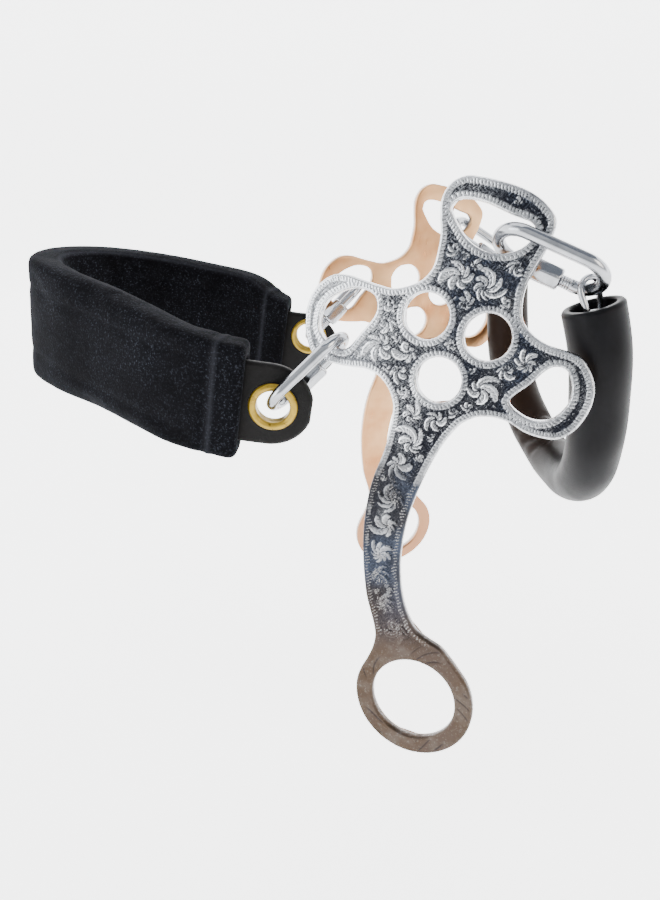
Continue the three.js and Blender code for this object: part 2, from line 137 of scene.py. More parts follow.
def carried_frames(points, first_side):
    """Tangent, side and up of a curve's points, the side carried along without twist."""
    tangents = units(np.gradient(points, axis=0))
    sides = np.empty_like(points)
    side = np.asarray(first_side, float)
    for i, tangent in enumerate(tangents):
        side = side - tangent * side.dot(tangent)
        side /= np.linalg.norm(side)
        sides[i] = side
    return tangents, sides, np.cross(tangents, sides)


def circles(across, up, sides):
    """Directions all round each of a curve's points, from across towards up."""
    angle = full_turn(sides)[:, None]
    return across[:, None] * np.cos(angle) + up[:, None] * np.sin(angle)


def make_object(name, points, faces, material):
    mesh = bpy.data.meshes.new(name)
    mesh.from_pydata(np.asarray(points).tolist(), [], [list(face) for face in faces])
    mesh.update()
    mesh.shade_smooth()
    mesh.materials.append(material)
    obj = bpy.data.objects.new(name, mesh)
    bpy.context.scene.collection.objects.link(obj)
    return obj


def tint(obj, attribute, values):
    """Stores one number per point for the material to read."""
    layer = obj.data.attributes.new(attribute, "FLOAT", "POINT")
    layer.data.foreach_set("value", np.asarray(values, dtype=np.float32))


def grid_faces(rows, columns, closed_rows=False):
    """Quads over rings of points. Facing is out where rows run along and columns turn to the left."""
    faces = []
    for i in range(rows if closed_rows else rows - 1):
        a, b = i * columns, ((i + 1) % rows) * columns
        for j in range(columns):
            k = (j + 1) % columns
            faces.append((a + j, a + k, b + k, b + j))
    return faces


def close_ends(rings, faces):
    """Adds a point in the middle of the first and last ring, so that the tube is closed."""
    rows, columns = rings.shape[:2]
    points = rings.reshape(-1, 3)
    first, last = len(points), len(points) + 1
    points = np.vstack([points, rings[0].mean(axis=0), rings[-1].mean(axis=0)])
    base = (rows - 1) * columns
    for j in range(columns):
        k = (j + 1) % columns
        faces.append((first, k, j))
        faces.append((last, base + j, base + k))
    return points, faces


def face_outwards(obj):
    mesh = obj.data
    mesh.calc_loop_triangles()
    points = np.array([vertex.co[:] for vertex in mesh.vertices])
    corners = np.array([triangle.vertices[:] for triangle in mesh.loop_triangles])
    a, b, c = (points[corners[:, i]] for i in range(3))
    if np.einsum("ij,ij->i", a, np.cross(b, c)).sum() < 0:
        mesh.flip_normals()


def settle(obj, body, node):
    """The object stands for the CAD node and moves with the body."""
    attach(obj, body)
    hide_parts(node)


def add_piece(name, points, faces, material, body, node):
    """A closed piece with its material, facing outwards, that stands for the CAD node and moves with the
    body.
    """
    obj = make_object(name, points, faces, material)
    face_outwards(obj)
    settle(obj, body, node)
    return obj


# ---------------------------------------------------------------- flat plates with rounded edges


HATCH_PITCH = 1.1


def loop_area(loop):
    following = np.roll(loop, -1, axis=0)
    return 0.5 * np.sum(loop[:, 0] * following[:, 1] - loop[:, 1] * following[:, 0])


class Boundary:
    """A plate's edge: its loops sampled finely, with inward normals, for distances to the edge."""

    def __init__(self, loops, spacing=0.3):
        largest = max(range(len(loops)), key=lambda i: abs(loop_area(loops[i])))
        samples, inward, runs = [], [], []
        for i, loop in enumerate(loops):
            if (loop_area(loop) > 0) != (i == largest):
                loop = loop[::-1]
            fine = smooth_curve(loop, spacing, closed=True)
            tangent = units(np.roll(fine, -1, axis=0) - np.roll(fine, 1, axis=0))
            samples.append(fine)
            inward.append(np.stack([-tangent[:, 1], tangent[:, 0]], axis=1))
            strokes = max(round(spacing * len(fine) / HATCH_PITCH), 1)
            runs.append(np.linspace(0, strokes * HATCH_PITCH, len(fine), endpoint=False))
        self.samples = np.vstack(samples)
        self.inward = np.vstack(inward)
        self.runs = np.concatenate(runs)
        self.tree = kdtree.KDTree(len(self.samples))
        for i, (u, v) in enumerate(self.samples):
            self.tree.insert((u, v, 0), i)
        self.tree.balance()

    def nearest(self, points):
        found = [self.tree.find((u, v, 0)) for u, v in points]
        index = np.array([hit[1] for hit in found])
        away = points - self.samples[index]
        depth = np.sum(away * self.inward[index], axis=1)
        distance = np.array([hit[2] for hit in found])
        return index, np.where(depth > 0, np.maximum(distance, depth), -distance)


def plate(loops, thickness, rounding, step, relief=None, bends=False):
    """A closed flat plate with rounded edges, in its own (u, v, w), and its relief's point values.

    A plate that bends gets the same even grid underneath as on top.
    """
    boundary = Boundary(loops)
    low, high = boundary.samples.min(axis=0), boundary.samples.max(axis=0)
    us = np.arange(low[0] - step, high[0] + 2 * step, step)
    vs = np.arange(low[1] - step, high[1] + 2 * step, step)
    grid = np.stack(np.meshgrid(us, vs, indexing="ij"), axis=-1)
    index, depth = boundary.nearest(grid.reshape(-1, 2))
    index = index.reshape(grid.shape[:2])
    depth = depth.reshape(grid.shape[:2])
    middle = (depth[:-1, :-1] + depth[1:, :-1] + depth[1:, 1:] + depth[:-1, 1:]) / 4
    inside = middle > 0
    touched = np.zeros(depth.shape, int)
    for i, j in ((0, 0), (1, 0), (1, 1), (0, 1)):
        touched[i : i + inside.shape[0], j : j + inside.shape[1]] += inside
    used = touched > 0
    edge = used & (touched < 4)
    tangent = np.stack([boundary.inward[index][..., 1], -boundary.inward[index][..., 0]], axis=-1)
    nearest = boundary.samples[index]
    along = np.sum((grid - nearest) * tangent, axis=-1, keepdims=True)
    grid = np.where(edge[..., None], nearest + tangent * along, grid)
    depth = np.where(edge, 0, np.maximum(depth, 0))

    number = np.full(depth.shape, -1)
    number[used] = np.arange(used.sum())
    flat = grid[used]
    inset = depth[used]
    drop = rounding - np.sqrt(np.maximum(rounding**2 - np.maximum(rounding - inset, 0) ** 2, 0))
    height = thickness / 2 - drop
    values = {}
    if relief:
        offset, values = relief(flat, inset, boundary.runs[index[used]])
        height = height + offset
    points = np.column_stack([flat, height])
    cells = np.argwhere(inside)
    faces = [
        (number[i, j], number[i + 1, j], number[i + 1, j + 1], number[i, j + 1]) for i, j in cells
    ]
    rings = chain_edges(open_edges(faces))

    if bends:
        beneath = np.column_stack([flat, drop - thickness / 2])
        count = len(flat)
        faces += [(d + count, c + count, b + count, a + count) for a, b, c, d in faces]
        for ring in rings:
            faces += [(b, a, a + count, b + count) for a, b in zip(ring, ring[1:] + ring[:1])]
        return np.vstack([points, beneath]), faces, values

    below, walls = underside(flat, boundary.inward[index[used]], rings, thickness, rounding, boundary)
    values = {key: np.append(value, np.zeros(len(below))) for key, value in values.items()}
    return np.vstack([points, below]), faces + walls, values


def underside(flat, inward, rings, thickness, rounding, boundary):
    """Points stepping down and in from the edge rings, and the faces of the rounded wall and the bottom."""
    levels = [(0, rounding)]
    for share in (1 / 3, 2 / 3, 1):
        angle = share * math.pi / 2
        levels.append((rounding * (1 - math.cos(angle)), rounding * (1 - math.sin(angle))))
    below, faces, bottom = [], [], []
    count = len(flat)
    for ring in rings:
        above = list(ring)
        for offset, rise in levels:
            level = np.full(len(ring), -thickness / 2 + rise)
            below.append(np.column_stack([flat[ring] + inward[ring] * offset, level]))
            here = list(range(count, count + len(ring)))
            count += len(ring)
            for i in range(len(ring)):
                k = (i + 1) % len(ring)
                faces.append((above[k], above[i], here[i], here[k]))
            above = here
        bottom.append(above)
    below = np.vstack(below)
    return below, faces + fill(np.vstack([flat, below[:, :2]]), bottom, boundary)


def fill(flat, rings, boundary):
    """Downward-facing triangles between rings of point numbers, with the rings' holes left open."""
    order = [i for ring in rings for i in ring]
    edges, start = [], 0
    for ring in rings:
        edges += [(start + i, start + (i + 1) % len(ring)) for i in range(len(ring))]
        start += len(ring)
    spots = [Vector(flat[i]) for i in order]
    found = delaunay_2d_cdt(spots, edges, [], 0, 1e-6, True)
    near = kdtree.KDTree(len(spots))
    for i, spot in enumerate(spots):
        near.insert((*spot, 0), i)
    near.balance()
    same = [order[near.find((*spot, 0))[1]] for spot in found[0]]
    triangles = np.array([[same[i] for i in face] for face in found[2]])
    _, depth = boundary.nearest(flat[triangles].mean(axis=1))
    triangles = triangles[depth > 0]
    p, q, r = (flat[triangles[:, i]] for i in range(3))
    turn = (q[:, 0] - p[:, 0]) * (r[:, 1] - p[:, 1]) - (q[:, 1] - p[:, 1]) * (r[:, 0] - p[:, 0])
    return [tuple(t if clockwise else t[::-1]) for t, clockwise in zip(triangles.tolist(), turn < 0)]


def open_edges(faces):
    """The directed edges of faces, given as lists of point numbers, that no neighbour shares."""
    found = {}
    for face in faces:
        for start, end in zip(face, face[1:] + face[:1]):
            if (end, start) in found:
                del found[(end, start)]
            else:
                found[(start, end)] = True
    return found


def chain_edges(follows):
    """Closed loops of point numbers from directed edges."""
    following = {}
    for start, end in follows:
        following.setdefault(start, []).append(end)
    rings = []
    while following:
        start = next(iter(following))
        ring = [start]
        here = following[start].pop()
        if not following[start]:
            del following[start]
        while here != start:
            ring.append(here)
            ends = following[here]
            step = ends.pop()
            if not ends:
                del following[here]
            here = step
        rings.append(ring)
    return rings


# ---------------------------------------------------------------- materials


class Shader:
    """A Principled material under construction."""

    def __init__(self, name, **settings):
        self.material = bpy.data.materials.new(name)
        self.material.use_nodes = True
        self.tree = self.material.node_tree
        self.principled = self.tree.nodes["Principled BSDF"]
        for key, value in settings.items():
            socket = key.replace("_", " ").title().replace("Ior", "IOR")
            self.principled.inputs[socket].default_value = value

    def node(self, kind, **settings):
        node = self.tree.nodes.new("ShaderNode" + kind)
        for key, value in settings.items():
            setattr(node, key, value)
        return node

    def link(self, value, socket):
        if hasattr(value, "is_output"):
            self.tree.links.new(value, socket)
        else:
            socket.default_value = value

    def place(self):
        return self.node("TexCoord").outputs["Object"]

    def attribute(self, name):
        return self.node("Attribute", attribute_name=name).outputs["Fac"]

    def noise(self, scale, detail=2.0, roughness=0.5, stretch=None):
        noise = self.node("TexNoise")
        noise.inputs["Scale"].default_value = scale
        noise.inputs["Detail"].default_value = detail
        noise.inputs["Roughness"].default_value = roughness
        place = self.place()
        if stretch:
            mapping = self.node("Mapping")
            mapping.inputs["Scale"].default_value = stretch
            self.link(place, mapping.inputs["Vector"])
            place = mapping.outputs["Vector"]
        self.link(place, noise.inputs["Vector"])
        return noise.outputs["Fac"]

    def ramp(self, value, low, high, start, end):
        """value from low to high becomes start to end, held outside."""
        node = self.node("MapRange")
        for key, number in (("From Min", low), ("From Max", high), ("To Min", start), ("To Max", end)):
            node.inputs[key].default_value = number
        self.link(value, node.inputs["Value"])
        return node.outputs["Result"]

    def math(self, operation, a, b=0.0):
        node = self.node("Math", operation=operation)
        self.link(a, node.inputs[0])
        self.link(b, node.inputs[1])
        return node.outputs["Value"]

    def mix(self, share, a, b):
        node = self.node("Mix", data_type="RGBA")
        self.link(share, node.inputs["Factor"])
        self.link(a if hasattr(a, "is_output") else (*a, 1), node.inputs["A"])
        self.link(b if hasattr(b, "is_output") else (*b, 1), node.inputs["B"])
        return [out for out in node.outputs if out.type == "RGBA"][0]

    def between(self, value, low, high, a, b):
        """Colour a where the value is low, b where it is high."""
        return self.mix(self.ramp(value, low, high, 0, 1), a, b)

    def bump(self, height, strength, distance):
        node = self.node("Bump")
        node.inputs["Strength"].default_value = strength
        node.inputs["Distance"].default_value = distance
        self.link(height, node.inputs["Height"])
        self.link(node.outputs["Normal"], self.principled.inputs["Normal"])

    def set(self, socket, value):
        self.link(value, self.principled.inputs[socket])

    def set_roughness(self, broad, fine):
        self.set("Roughness", self.math("ADD", broad, fine))


POLISHED = (0.62, 0.63, 0.65)
# Painted shade: the dark reflections laid into the engraved steel's colour.
SHADE_BLACK = (0.021, 0.021, 0.024)
SHADE_BLUE = (0.034, 0.041, 0.058)
BROWNED = (0.052, 0.035, 0.023)
SPECK = (0.03, 0.031, 0.036)
GLINT = (0.42, 0.43, 0.45)
GROOVE = (0.008, 0.009, 0.013)
# Painted highlight on the engraved lines of the dark shank.
LINE_HIGHLIGHT = (0.3, 0.29, 0.28)
EDGE_STEEL = (0.5, 0.49, 0.48)
# Painted reflection: the warm reflection on the cheeks' undersides, dimmest towards the rein ring.
WARM_REFLECTION_DEEP = (0.36, 0.165, 0.07)
WARM_REFLECTION_PALE = (0.52, 0.31, 0.155)
WARM_REFLECTION_DIM = (0.26, 0.13, 0.075)
PLATING = (0.36, 0.37, 0.39)
PLATING_WORN = (0.252, 0.259, 0.273)
BRASS_DARK, BRASS_LIGHT = (0.2, 0.125, 0.008), (0.34, 0.225, 0.02)
LEATHER_DARK, LEATHER_WORN = (0.0018, 0.0018, 0.0018), (0.006, 0.0055, 0.0055)
PILE_DARK, PILE_BRUSHED = (0.0014, 0.0014, 0.0018), (0.0024, 0.0027, 0.0036)
PILE_TIP = (0.03, 0.033, 0.043)
PILE_SEAM = (0.02, 0.021, 0.026)
PILE_SHEEN = (0.55, 0.6, 0.75, 1)
RUBBER_DARK, RUBBER_DUSTY = (0.0016, 0.0016, 0.002), (0.004, 0.004, 0.005)
# Painted light: brown where light would show through the rubber.
RUBBER_WARM = (0.012, 0.006, 0.0034)


def engraved_steel():
    s = Shader("engraved_steel", metallic=1.0)
    shade, warmth, groove = s.attribute("shade"), s.attribute("warmth"), s.attribute("groove")
    low, line_highlight = s.attribute("low"), s.attribute("line_highlight")
    cloud = s.noise(110, 3, 0.6)
    fine = s.noise(1150, 2, 0.65)
    tone = s.math("ADD", shade, s.ramp(cloud, 0.35, 0.65, -0.16, 0.16))
    # Where shade is high the steel takes this dark colour: painted shade standing in for dark reflections,
    # also used for the darker ground between the leaves.
    shade_colour = s.between(s.noise(55, 2, 0.5), 0.45, 0.62, SHADE_BLACK, SHADE_BLUE)
    colour = s.between(tone, 0, 1, POLISHED, shade_colour)
    colour = s.mix(s.ramp(warmth, 0, 1, 0, 0.85), colour, BROWNED)
    rough_ground = s.math("MULTIPLY", s.ramp(tone, 0.05, 0.6, 0, 1), s.ramp(low, 0, 1, 1, 0.1))
    specks = s.math("MULTIPLY", s.ramp(fine, 0.5, 0.62, 0, 0.8), rough_ground)
    colour = s.mix(specks, colour, SPECK)
    glints = s.math("MULTIPLY", s.ramp(fine, 0.34, 0.42, 0.55, 0), rough_ground)
    colour = s.mix(glints, colour, GLINT)
    colour = s.mix(s.ramp(groove, 0.05, 0.75, 0, 0.96), colour, GROOVE)
    # Painted highlights on the engraved lines of the shank.
    colour = s.mix(s.ramp(line_highlight, 0.1, 0.8, 0, 0.7), colour, LINE_HIGHLIGHT)
    s.set("Base Color", colour)
    rough = s.math("ADD", s.ramp(shade, 0, 1, 0.2, 0.34), s.ramp(fine, 0.3, 0.7, -0.05, 0.08))
    s.set_roughness(rough, s.ramp(groove, 0, 1, 0, 0.3))
    s.bump(fine, 0.35, 0.0001)
    return s.material


def plain_steel():
    s = Shader("plain_steel", metallic=1.0)
    cloud = s.noise(60, 3, 0.55)
    brush = s.noise(900, 3, 0.6, stretch=(1, 1, 0.06))
    # The undersides get a painted warm reflection that varies with a noise and dims towards the rein ring;
    # the edge walls keep the steel's own colour.
    warm = s.between(cloud, 0.3, 0.7, WARM_REFLECTION_DEEP, WARM_REFLECTION_PALE)
    warm = s.mix(s.ramp(s.attribute("warmth"), 0, 1, 0, 0.8), warm, WARM_REFLECTION_DIM)
    s.set("Base Color", s.mix(s.attribute("inner"), EDGE_STEEL, warm))
    s.set_roughness(s.ramp(brush, 0.3, 0.7, 0.24, 0.36), s.ramp(cloud, 0.3, 0.7, 0, 0.08))
    s.bump(brush, 0.12, 0.00006)
    return s.material


def plated_steel():
    s = Shader("plated_steel", metallic=1.0)
    smudge = s.noise(160, 3, 0.55)
    grain = s.noise(1500, 2, 0.5)
    s.set("Base Color", s.between(smudge, 0.35, 0.7, PLATING, PLATING_WORN))
    s.set_roughness(s.ramp(smudge, 0.3, 0.7, 0.1, 0.22), s.ramp(grain, 0.3, 0.7, 0, 0.05))
    s.bump(grain, 0.1, 0.00004)
    return s.material


def eyelet_brass():
    s = Shader("eyelet_brass", metallic=0.6)
    smudge = s.noise(300, 3, 0.6)
    s.set("Base Color", s.between(smudge, 0.3, 0.7, BRASS_DARK, BRASS_LIGHT))
    s.set("Roughness", s.ramp(smudge, 0.3, 0.7, 0.24, 0.42))
    s.bump(s.noise(1800, 2, 0.5), 0.15, 0.00006)
    return s.material


def strap_leather():
    s = Shader("strap_leather", specular_ior_level=0.1)
    grain = s.node("TexVoronoi", feature="DISTANCE_TO_EDGE")
    grain.inputs["Scale"].default_value = 1500
    s.link(s.place(), grain.inputs["Vector"])
    pores = s.ramp(grain.outputs["Distance"], 0, 0.25, 0, 1)
    wear = s.noise(220, 4, 0.6)
    s.set("Base Color", s.between(wear, 0.35, 0.75, LEATHER_DARK, LEATHER_WORN))
    s.set("Roughness", s.ramp(wear, 0.3, 0.7, 0.42, 0.62))
    s.bump(s.math("ADD", pores, s.math("MULTIPLY", wear, 0.6)), 0.35, 0.00012)
    return s.material


def sleeve_velvet():
    s = Shader("sleeve_velvet", roughness=0.95, specular_ior_level=0.04, sheen_weight=0.03,
               sheen_roughness=0.4, sheen_tint=PILE_SHEEN)
    pile = s.noise(1300, 2, 0.7)
    patch = s.noise(45, 3, 0.6)
    speckle = s.math("MULTIPLY", s.ramp(pile, 0.54, 0.72, 0, 1), s.ramp(patch, 0.35, 0.7, 0.15, 0.8))
    brushed = s.between(patch, 0.35, 0.7, PILE_DARK, PILE_BRUSHED)
    s.set("Base Color", s.mix(s.attribute("seam"), s.mix(speckle, brushed, PILE_TIP), PILE_SEAM))
    s.bump(s.math("ADD", pile, s.math("MULTIPLY", s.noise(420, 2, 0.5), 0.5)), 0.7, 0.0004)
    return s.material


def curb_rubber():
    s = Shader("curb_rubber", specular_ior_level=0.06)
    cloud = s.noise(70, 4, 0.6)
    dust = s.noise(2200, 2, 0.6)
    dark = s.between(cloud, 0.3, 0.7, RUBBER_DARK, RUBBER_DUSTY)
    # warmth browns the rubber as painted light showing through it, on the far arm and the outer side of the
    # bend.
    s.set("Base Color", s.between(s.attribute("warmth"), 0, 1, dark, RUBBER_WARM))
    s.set_roughness(s.ramp(cloud, 0.3, 0.7, 0.34, 0.46), s.ramp(dust, 0.4, 0.7, 0, 0.08))
    s.bump(s.math("ADD", dust, s.math("MULTIPLY", cloud, 2)), 0.18, 0.0001)
    return s.material


ENGRAVED = engraved_steel()
PLAIN = plain_steel()
PLATED = plated_steel()
BRASS = eyelet_brass()
LEATHER = strap_leather()
VELVET = sleeve_velvet()
RUBBER = curb_rubber()

# ---------------------------------------------------------------- cheeks


FACING_OUT = 0.85
FACE_TOLERANCE = 0.05 * MM
LONGEST_OPENING = 100 * MM


class Cheek:
    """A CAD cheek's own frame and its outer face's loops, read from its mesh, in millimetres."""

    def __init__(self, side_name):
        self.side = SIDES[side_name]
        mesh = NODES[side_name + "_cheek"].data
        rounded = np.round(node_points(side_name + "_cheek"), 6)
        spots, number = np.unique(rounded, axis=0, return_inverse=True)
        number = number.ravel()
        facing = [p for p in mesh.polygons if p.normal.y * self.side > FACING_OUT]
        self.w = unit(np.sum([np.array(p.normal) * p.area for p in facing], axis=0))
        outermost = (spots @ self.w).max() - FACE_TOLERANCE
        on_face = (spots @ self.w)[number] > outermost
        outer = [p for p in mesh.polygons if on_face[list(p.vertices)].all()]
        self.u = unit(np.cross(self.w, (0, 0, self.side)))
        self.u *= np.sign(self.u[0])
        self.v = unit(np.cross(self.u, self.w)) * self.side
        edges = open_edges([[number[i] for i in p.vertices] for p in outer])
        loops = [spots[ring] for ring in chain_edges(edges)]
        openings = [loop for loop in loops if np.ptp(loop @ self.v) < LONGEST_OPENING]
        rein_ring = min(openings, key=lambda loop: np.mean(loop @ self.v))
        self.centre = rein_ring.mean(axis=0)
        depths = [float((spots[i] - self.centre) @ self.w) for i in range(len(spots))]
        self.thickness = (max(depths) - min(depths)) / MM
        self.loops = []
        for loop in loops:
            away = loop - self.centre
            self.loops.append(np.column_stack([away @ self.u, away @ self.v]) / MM)

    def place(self, points):
        """Points from the plate's (u, v, w), w = 0 halfway through it, to the row frame."""
        u, v, w = np.asarray(points).T
        w = w - self.thickness / 2
        return self.centre + MM * (np.outer(u, self.u) + np.outer(v, self.v) + np.outer(w, self.w))


ENGRAVING_SEED = 11
GROOVE_DEPTH = 0.22
LEAF_SWELLING = 0.16
GROUND_DEPTH = 0.1
RIM_PLAIN = 0.75
HATCH_END = 2.3
HATCH_WIDTH = 0.22
VEIN_PITCH = 0.8
VEIN_WIDTH = 0.2
OUTLINE_WIDTH = 0.26
LEAF_REACH = 1.22
SCROLL_MARGIN = 2.5
SCROLL_LARGEST = 5.2
SCROLL_SMALLEST = 1.25
SCROLL_GAP = 0.2
SCROLL_SMALL = 2.6
SHANK_FOOT = 24
RING_DARKNESS = 0.98
SHANK_DARKNESS = 1.1


def pack_scrolls(flat, inset):
    """Fills the plate with circles, the largest that fits first, each clear of the border and the others."""
    keep = (inset > SCROLL_MARGIN + SCROLL_SMALLEST * 0.5) & (flat[:, 1] > SHANK_FOOT)
    spots, room = flat[keep][::5], inset[keep][::5] - SCROLL_MARGIN
    room = np.minimum(room, SCROLL_LARGEST)
    scrolls = []
    while True:
        best = int(np.argmax(room))
        radius = room[best]
        if radius < SCROLL_SMALLEST:
            return scrolls
        scrolls.append((*spots[best], radius))
        away = np.hypot(*(spots - spots[best]).T) - radius
        room = np.minimum(room, np.maximum(away - SCROLL_GAP, -1))


def cut(distance, width):
    """A V groove's depth share at that distance from its middle."""
    return np.clip(1 - np.abs(distance) / width, 0, 1)


def petals(u, v, scroll, rng):
    """A fan of curled leaves inside a circle: cut depth, swelling, tone and where it covers the ground."""
    cu, cv, radius = scroll
    lean = rng.uniform(0, 2 * math.pi)
    off = rng.uniform(0.25, 0.55) * radius
    eye_u, eye_v = off * math.cos(lean), off * math.sin(lean)
    du, dv = u - cu - eye_u, v - cv - eye_v
    away = np.maximum(np.hypot(du, dv), 1e-6)
    towards = (eye_u * du + eye_v * dv) / away
    room = -towards + np.sqrt(np.maximum(towards**2 + radius**2 - off**2, 0))
    r = away / np.maximum(room, 0.1)
    count = int(rng.integers(4, 6) if radius < SCROLL_SMALL else rng.integers(5, 9))
    curl = rng.uniform(0.9, 1.7) * rng.choice([-1, 1])
    angle = np.arctan2(dv, du) - curl * r + rng.uniform(0, 2 * math.pi)
    sector = count * angle / (2 * math.pi)
    across = 2 * (sector - np.round(sector))
    leaf = np.mod(np.round(sector), count)
    length = 0.98 + 0.14 * np.sin(2.4 * leaf + radius)
    share = r / length
    half = np.clip(np.sin(math.pi * np.clip(share, 0, 1) ** 0.8), 0, 1) ** 0.5
    half *= 0.93 - 0.13 * np.abs(np.sin(4.5 * math.pi * share))
    width = math.pi * away / count
    margin = (half - np.abs(across)) * width
    covers = (margin > 0) & (share < 1)
    outline = cut(margin, OUTLINE_WIDTH) * 0.9
    spine = cut(across * width, VEIN_WIDTH) * ease(share, 0.1, 0.3) * (1 - ease(share, 0.65, 0.9))
    veins = (np.abs(across) * width * 0.9 + away) / VEIN_PITCH
    vein = cut((veins - np.round(veins)) * VEIN_PITCH, VEIN_WIDTH) * 0.8
    vein *= (across * curl > 0) * ease(margin, 0.12, 0.35)
    depth = np.maximum.reduce([outline, spine, vein])
    # The leaves are lighter than the ground; one side of each is painted lighter than the other, painted
    # shade that shapes the leaf.
    tone = np.where(across * curl > 0, -0.3, -0.8)
    swell = np.clip(1 - (across / np.maximum(half, 0.05)) ** 2, 0, 1)
    eye = cut(away - 0.1 * radius, 0.24)
    return np.where(covers, np.maximum(depth, eye), eye), swell, tone, covers


def zones(u, v):
    """How far each point lies in the rein ring, the front arm painted lighter as a painted reflection, the
    shank under painted shade, and the painted highlight patch on it.
    """
    ring = 1 - ease(v, SHANK_FOOT - 5, SHANK_FOOT + 1)
    front = (1 - ease(u, -30, -14)) * ease(v, 100, 112)
    low = 1 - ease(v + 0.3 * u, 74, 98)
    patch = 1 - ease(np.hypot((u + 16) / 7, (v - 62) / 15), 0.25, 1.1)
    return ring, front, low, patch


def engrave(flat, inset, run):
    """The cut depth of curled leaves, a hatched border and a stippled ground, with the values the material
    reads: dark grooves, painted shade, and painted highlights on the shank's lines.
    """
    u, v = flat.T
    rng = np.random.default_rng(ENGRAVING_SEED)
    groove, swell, tone = np.zeros((3, len(flat)))
    ground = np.ones(len(flat))
    for scroll in pack_scrolls(flat, inset):
        near = np.nonzero(np.hypot(u - scroll[0], v - scroll[1]) < scroll[2] * LEAF_REACH)[0]
        depth, rise, side, covers = petals(u[near], v[near], scroll, rng)
        free = covers & (ground[near] > 0)
        groove[near] = np.where(free, depth, np.maximum(groove[near], depth * ~covers))
        swell[near] = np.where(free, rise, swell[near])
        tone[near] = np.where(free, side, tone[near])
        ground[near] = np.where(covers, 0, ground[near])

    stroke = run / HATCH_PITCH + 0.3 * inset
    reach = HATCH_END + 0.45 * np.sin(run * 0.9) + 0.25 * np.sin(run * 5.1)
    length = np.clip((inset - RIM_PLAIN) / np.maximum(reach - RIM_PLAIN, 0.1), 0, 1)
    teeth = cut((stroke - np.round(stroke)) * HATCH_PITCH, HATCH_WIDTH + 0.13 * length)
    border = ease(inset, RIM_PLAIN, RIM_PLAIN + 0.2) * (inset < reach)
    lines = np.maximum(groove, teeth * border)
    in_border = 1 - ease(inset, HATCH_END - 0.3, HATCH_END + 0.1)

    body = 1 - in_border
    stipple = np.sin(u * 7.1 + 2 * np.sin(v * 2.1)) * np.sin(v * 7.7 + 2 * np.sin(u * 1.7))
    comma = cut(np.sin(u * 2.6 + v * 1.9 + 3 * np.sin(u * 0.8 - v * 1.1)), 0.35)
    pits = ground * body * np.maximum(ease(stipple, -0.25, 0.35), comma)

    ring, front, low, patch = zones(u, v)
    radius = np.hypot(u, v)
    angle = np.arctan2(v, u)
    leaf = np.sin(angle * 9 + 0.7 * radius + 1.6 * np.sin(angle * 4))
    curved = cut(leaf, 0.4) * ease(np.sin(angle * 5 + 1), -0.2, 0.5) * ease(inset, 0.7, 1.3) * 0.8
    lines = lines * (1 - ring) + curved * ring
    pits = pits * (1 - ring)

    fade = 1 - 0.35 * front
    groove = np.maximum(lines, pits) * fade
    offset = LEAF_SWELLING * swell * (1 - groove) * body * fade - GROOVE_DEPTH * groove
    offset -= GROUND_DEPTH * ground * body * (1 - ring) * fade

    # shade is mostly painted light and shade on the steel: a painted reflection, lighter towards the front
    # and top and darker towards the back and bottom; painted shade over the shank (SHANK_DARKNESS); a painted
    # highlight patch; the front arm painted lighter; each leaf painted lighter on one side. The ground
    # between the leaves is set darker, the border lighter and the ring dark.
    shade = 0.5 + 0.28 * ease(u + 0.25 * (150 - v), -10, 20)
    shade = shade * (1 - low) + SHANK_DARKNESS * low
    shade += tone * body * (1 - ground) * (1 - 0.85 * low)
    shade -= 0.4 * patch
    shade = shade * (1 - 0.3 * front) + 0.2 * ground * body * fade - 0.42 * in_border * (1 - low)
    shade = shade * (1 - ring) + RING_DARKNESS * ring
    # Painted highlights on the engraved lines where the shank is dark, none on the ring.
    line_highlight = lines**2.2 * low * (1 - ring)
    groove = np.maximum(lines * (1 - low) * fade, pits * (1 - 0.5 * low) * fade)
    groove = np.maximum(groove, 0.7 * curved * ring)
    groove, shade = np.clip(groove, 0, 1), np.clip(shade, 0, 1.15)
    return offset, {"groove": groove, "shade": shade, "low": low, "line_highlight": line_highlight}


CHEEK_STEP = 0.3
CHEEK_ROUNDING = 0.7
cheeks = {name: Cheek(name) for name in SIDES}


def build_cheeks():
    left = cheeks["left"]
    points, faces, values = plate(left.loops, left.thickness, CHEEK_ROUNDING, CHEEK_STEP, engrave)
    underside = CHEEK_ROUNDING + 0.05 - left.thickness / 2
    values["inner"] = (points[:, 2] < underside).astype(float)
    # warmth is 1 about the rein ring and the shank's foot and 0 above: there the engraved face turns browner,
    # and on the undersides the painted warm reflection turns dimmer.
    values["warmth"] = 1 - ease(points[:, 1], 14, 52)
    for name, cheek in cheeks.items():
        turned = faces if cheek.side < 0 else [face[::-1] for face in faces]
        obj = make_object(name + "_cheek_engraved", cheek.place(points), turned, ENGRAVED)
        for key, value in values.items():
            tint(obj, key, value)
        obj.data.materials.append(PLAIN)
        outer_top = cheek.thickness / 2 - CHEEK_ROUNDING * 1.02
        for polygon in obj.data.polygons:
            polygon.material_index = int(points[polygon.vertices[0]][2] < outer_top)
        settle(obj, name + "_cheek", name + "_cheek")


build_cheeks()

# ---------------------------------------------------------------- quick links


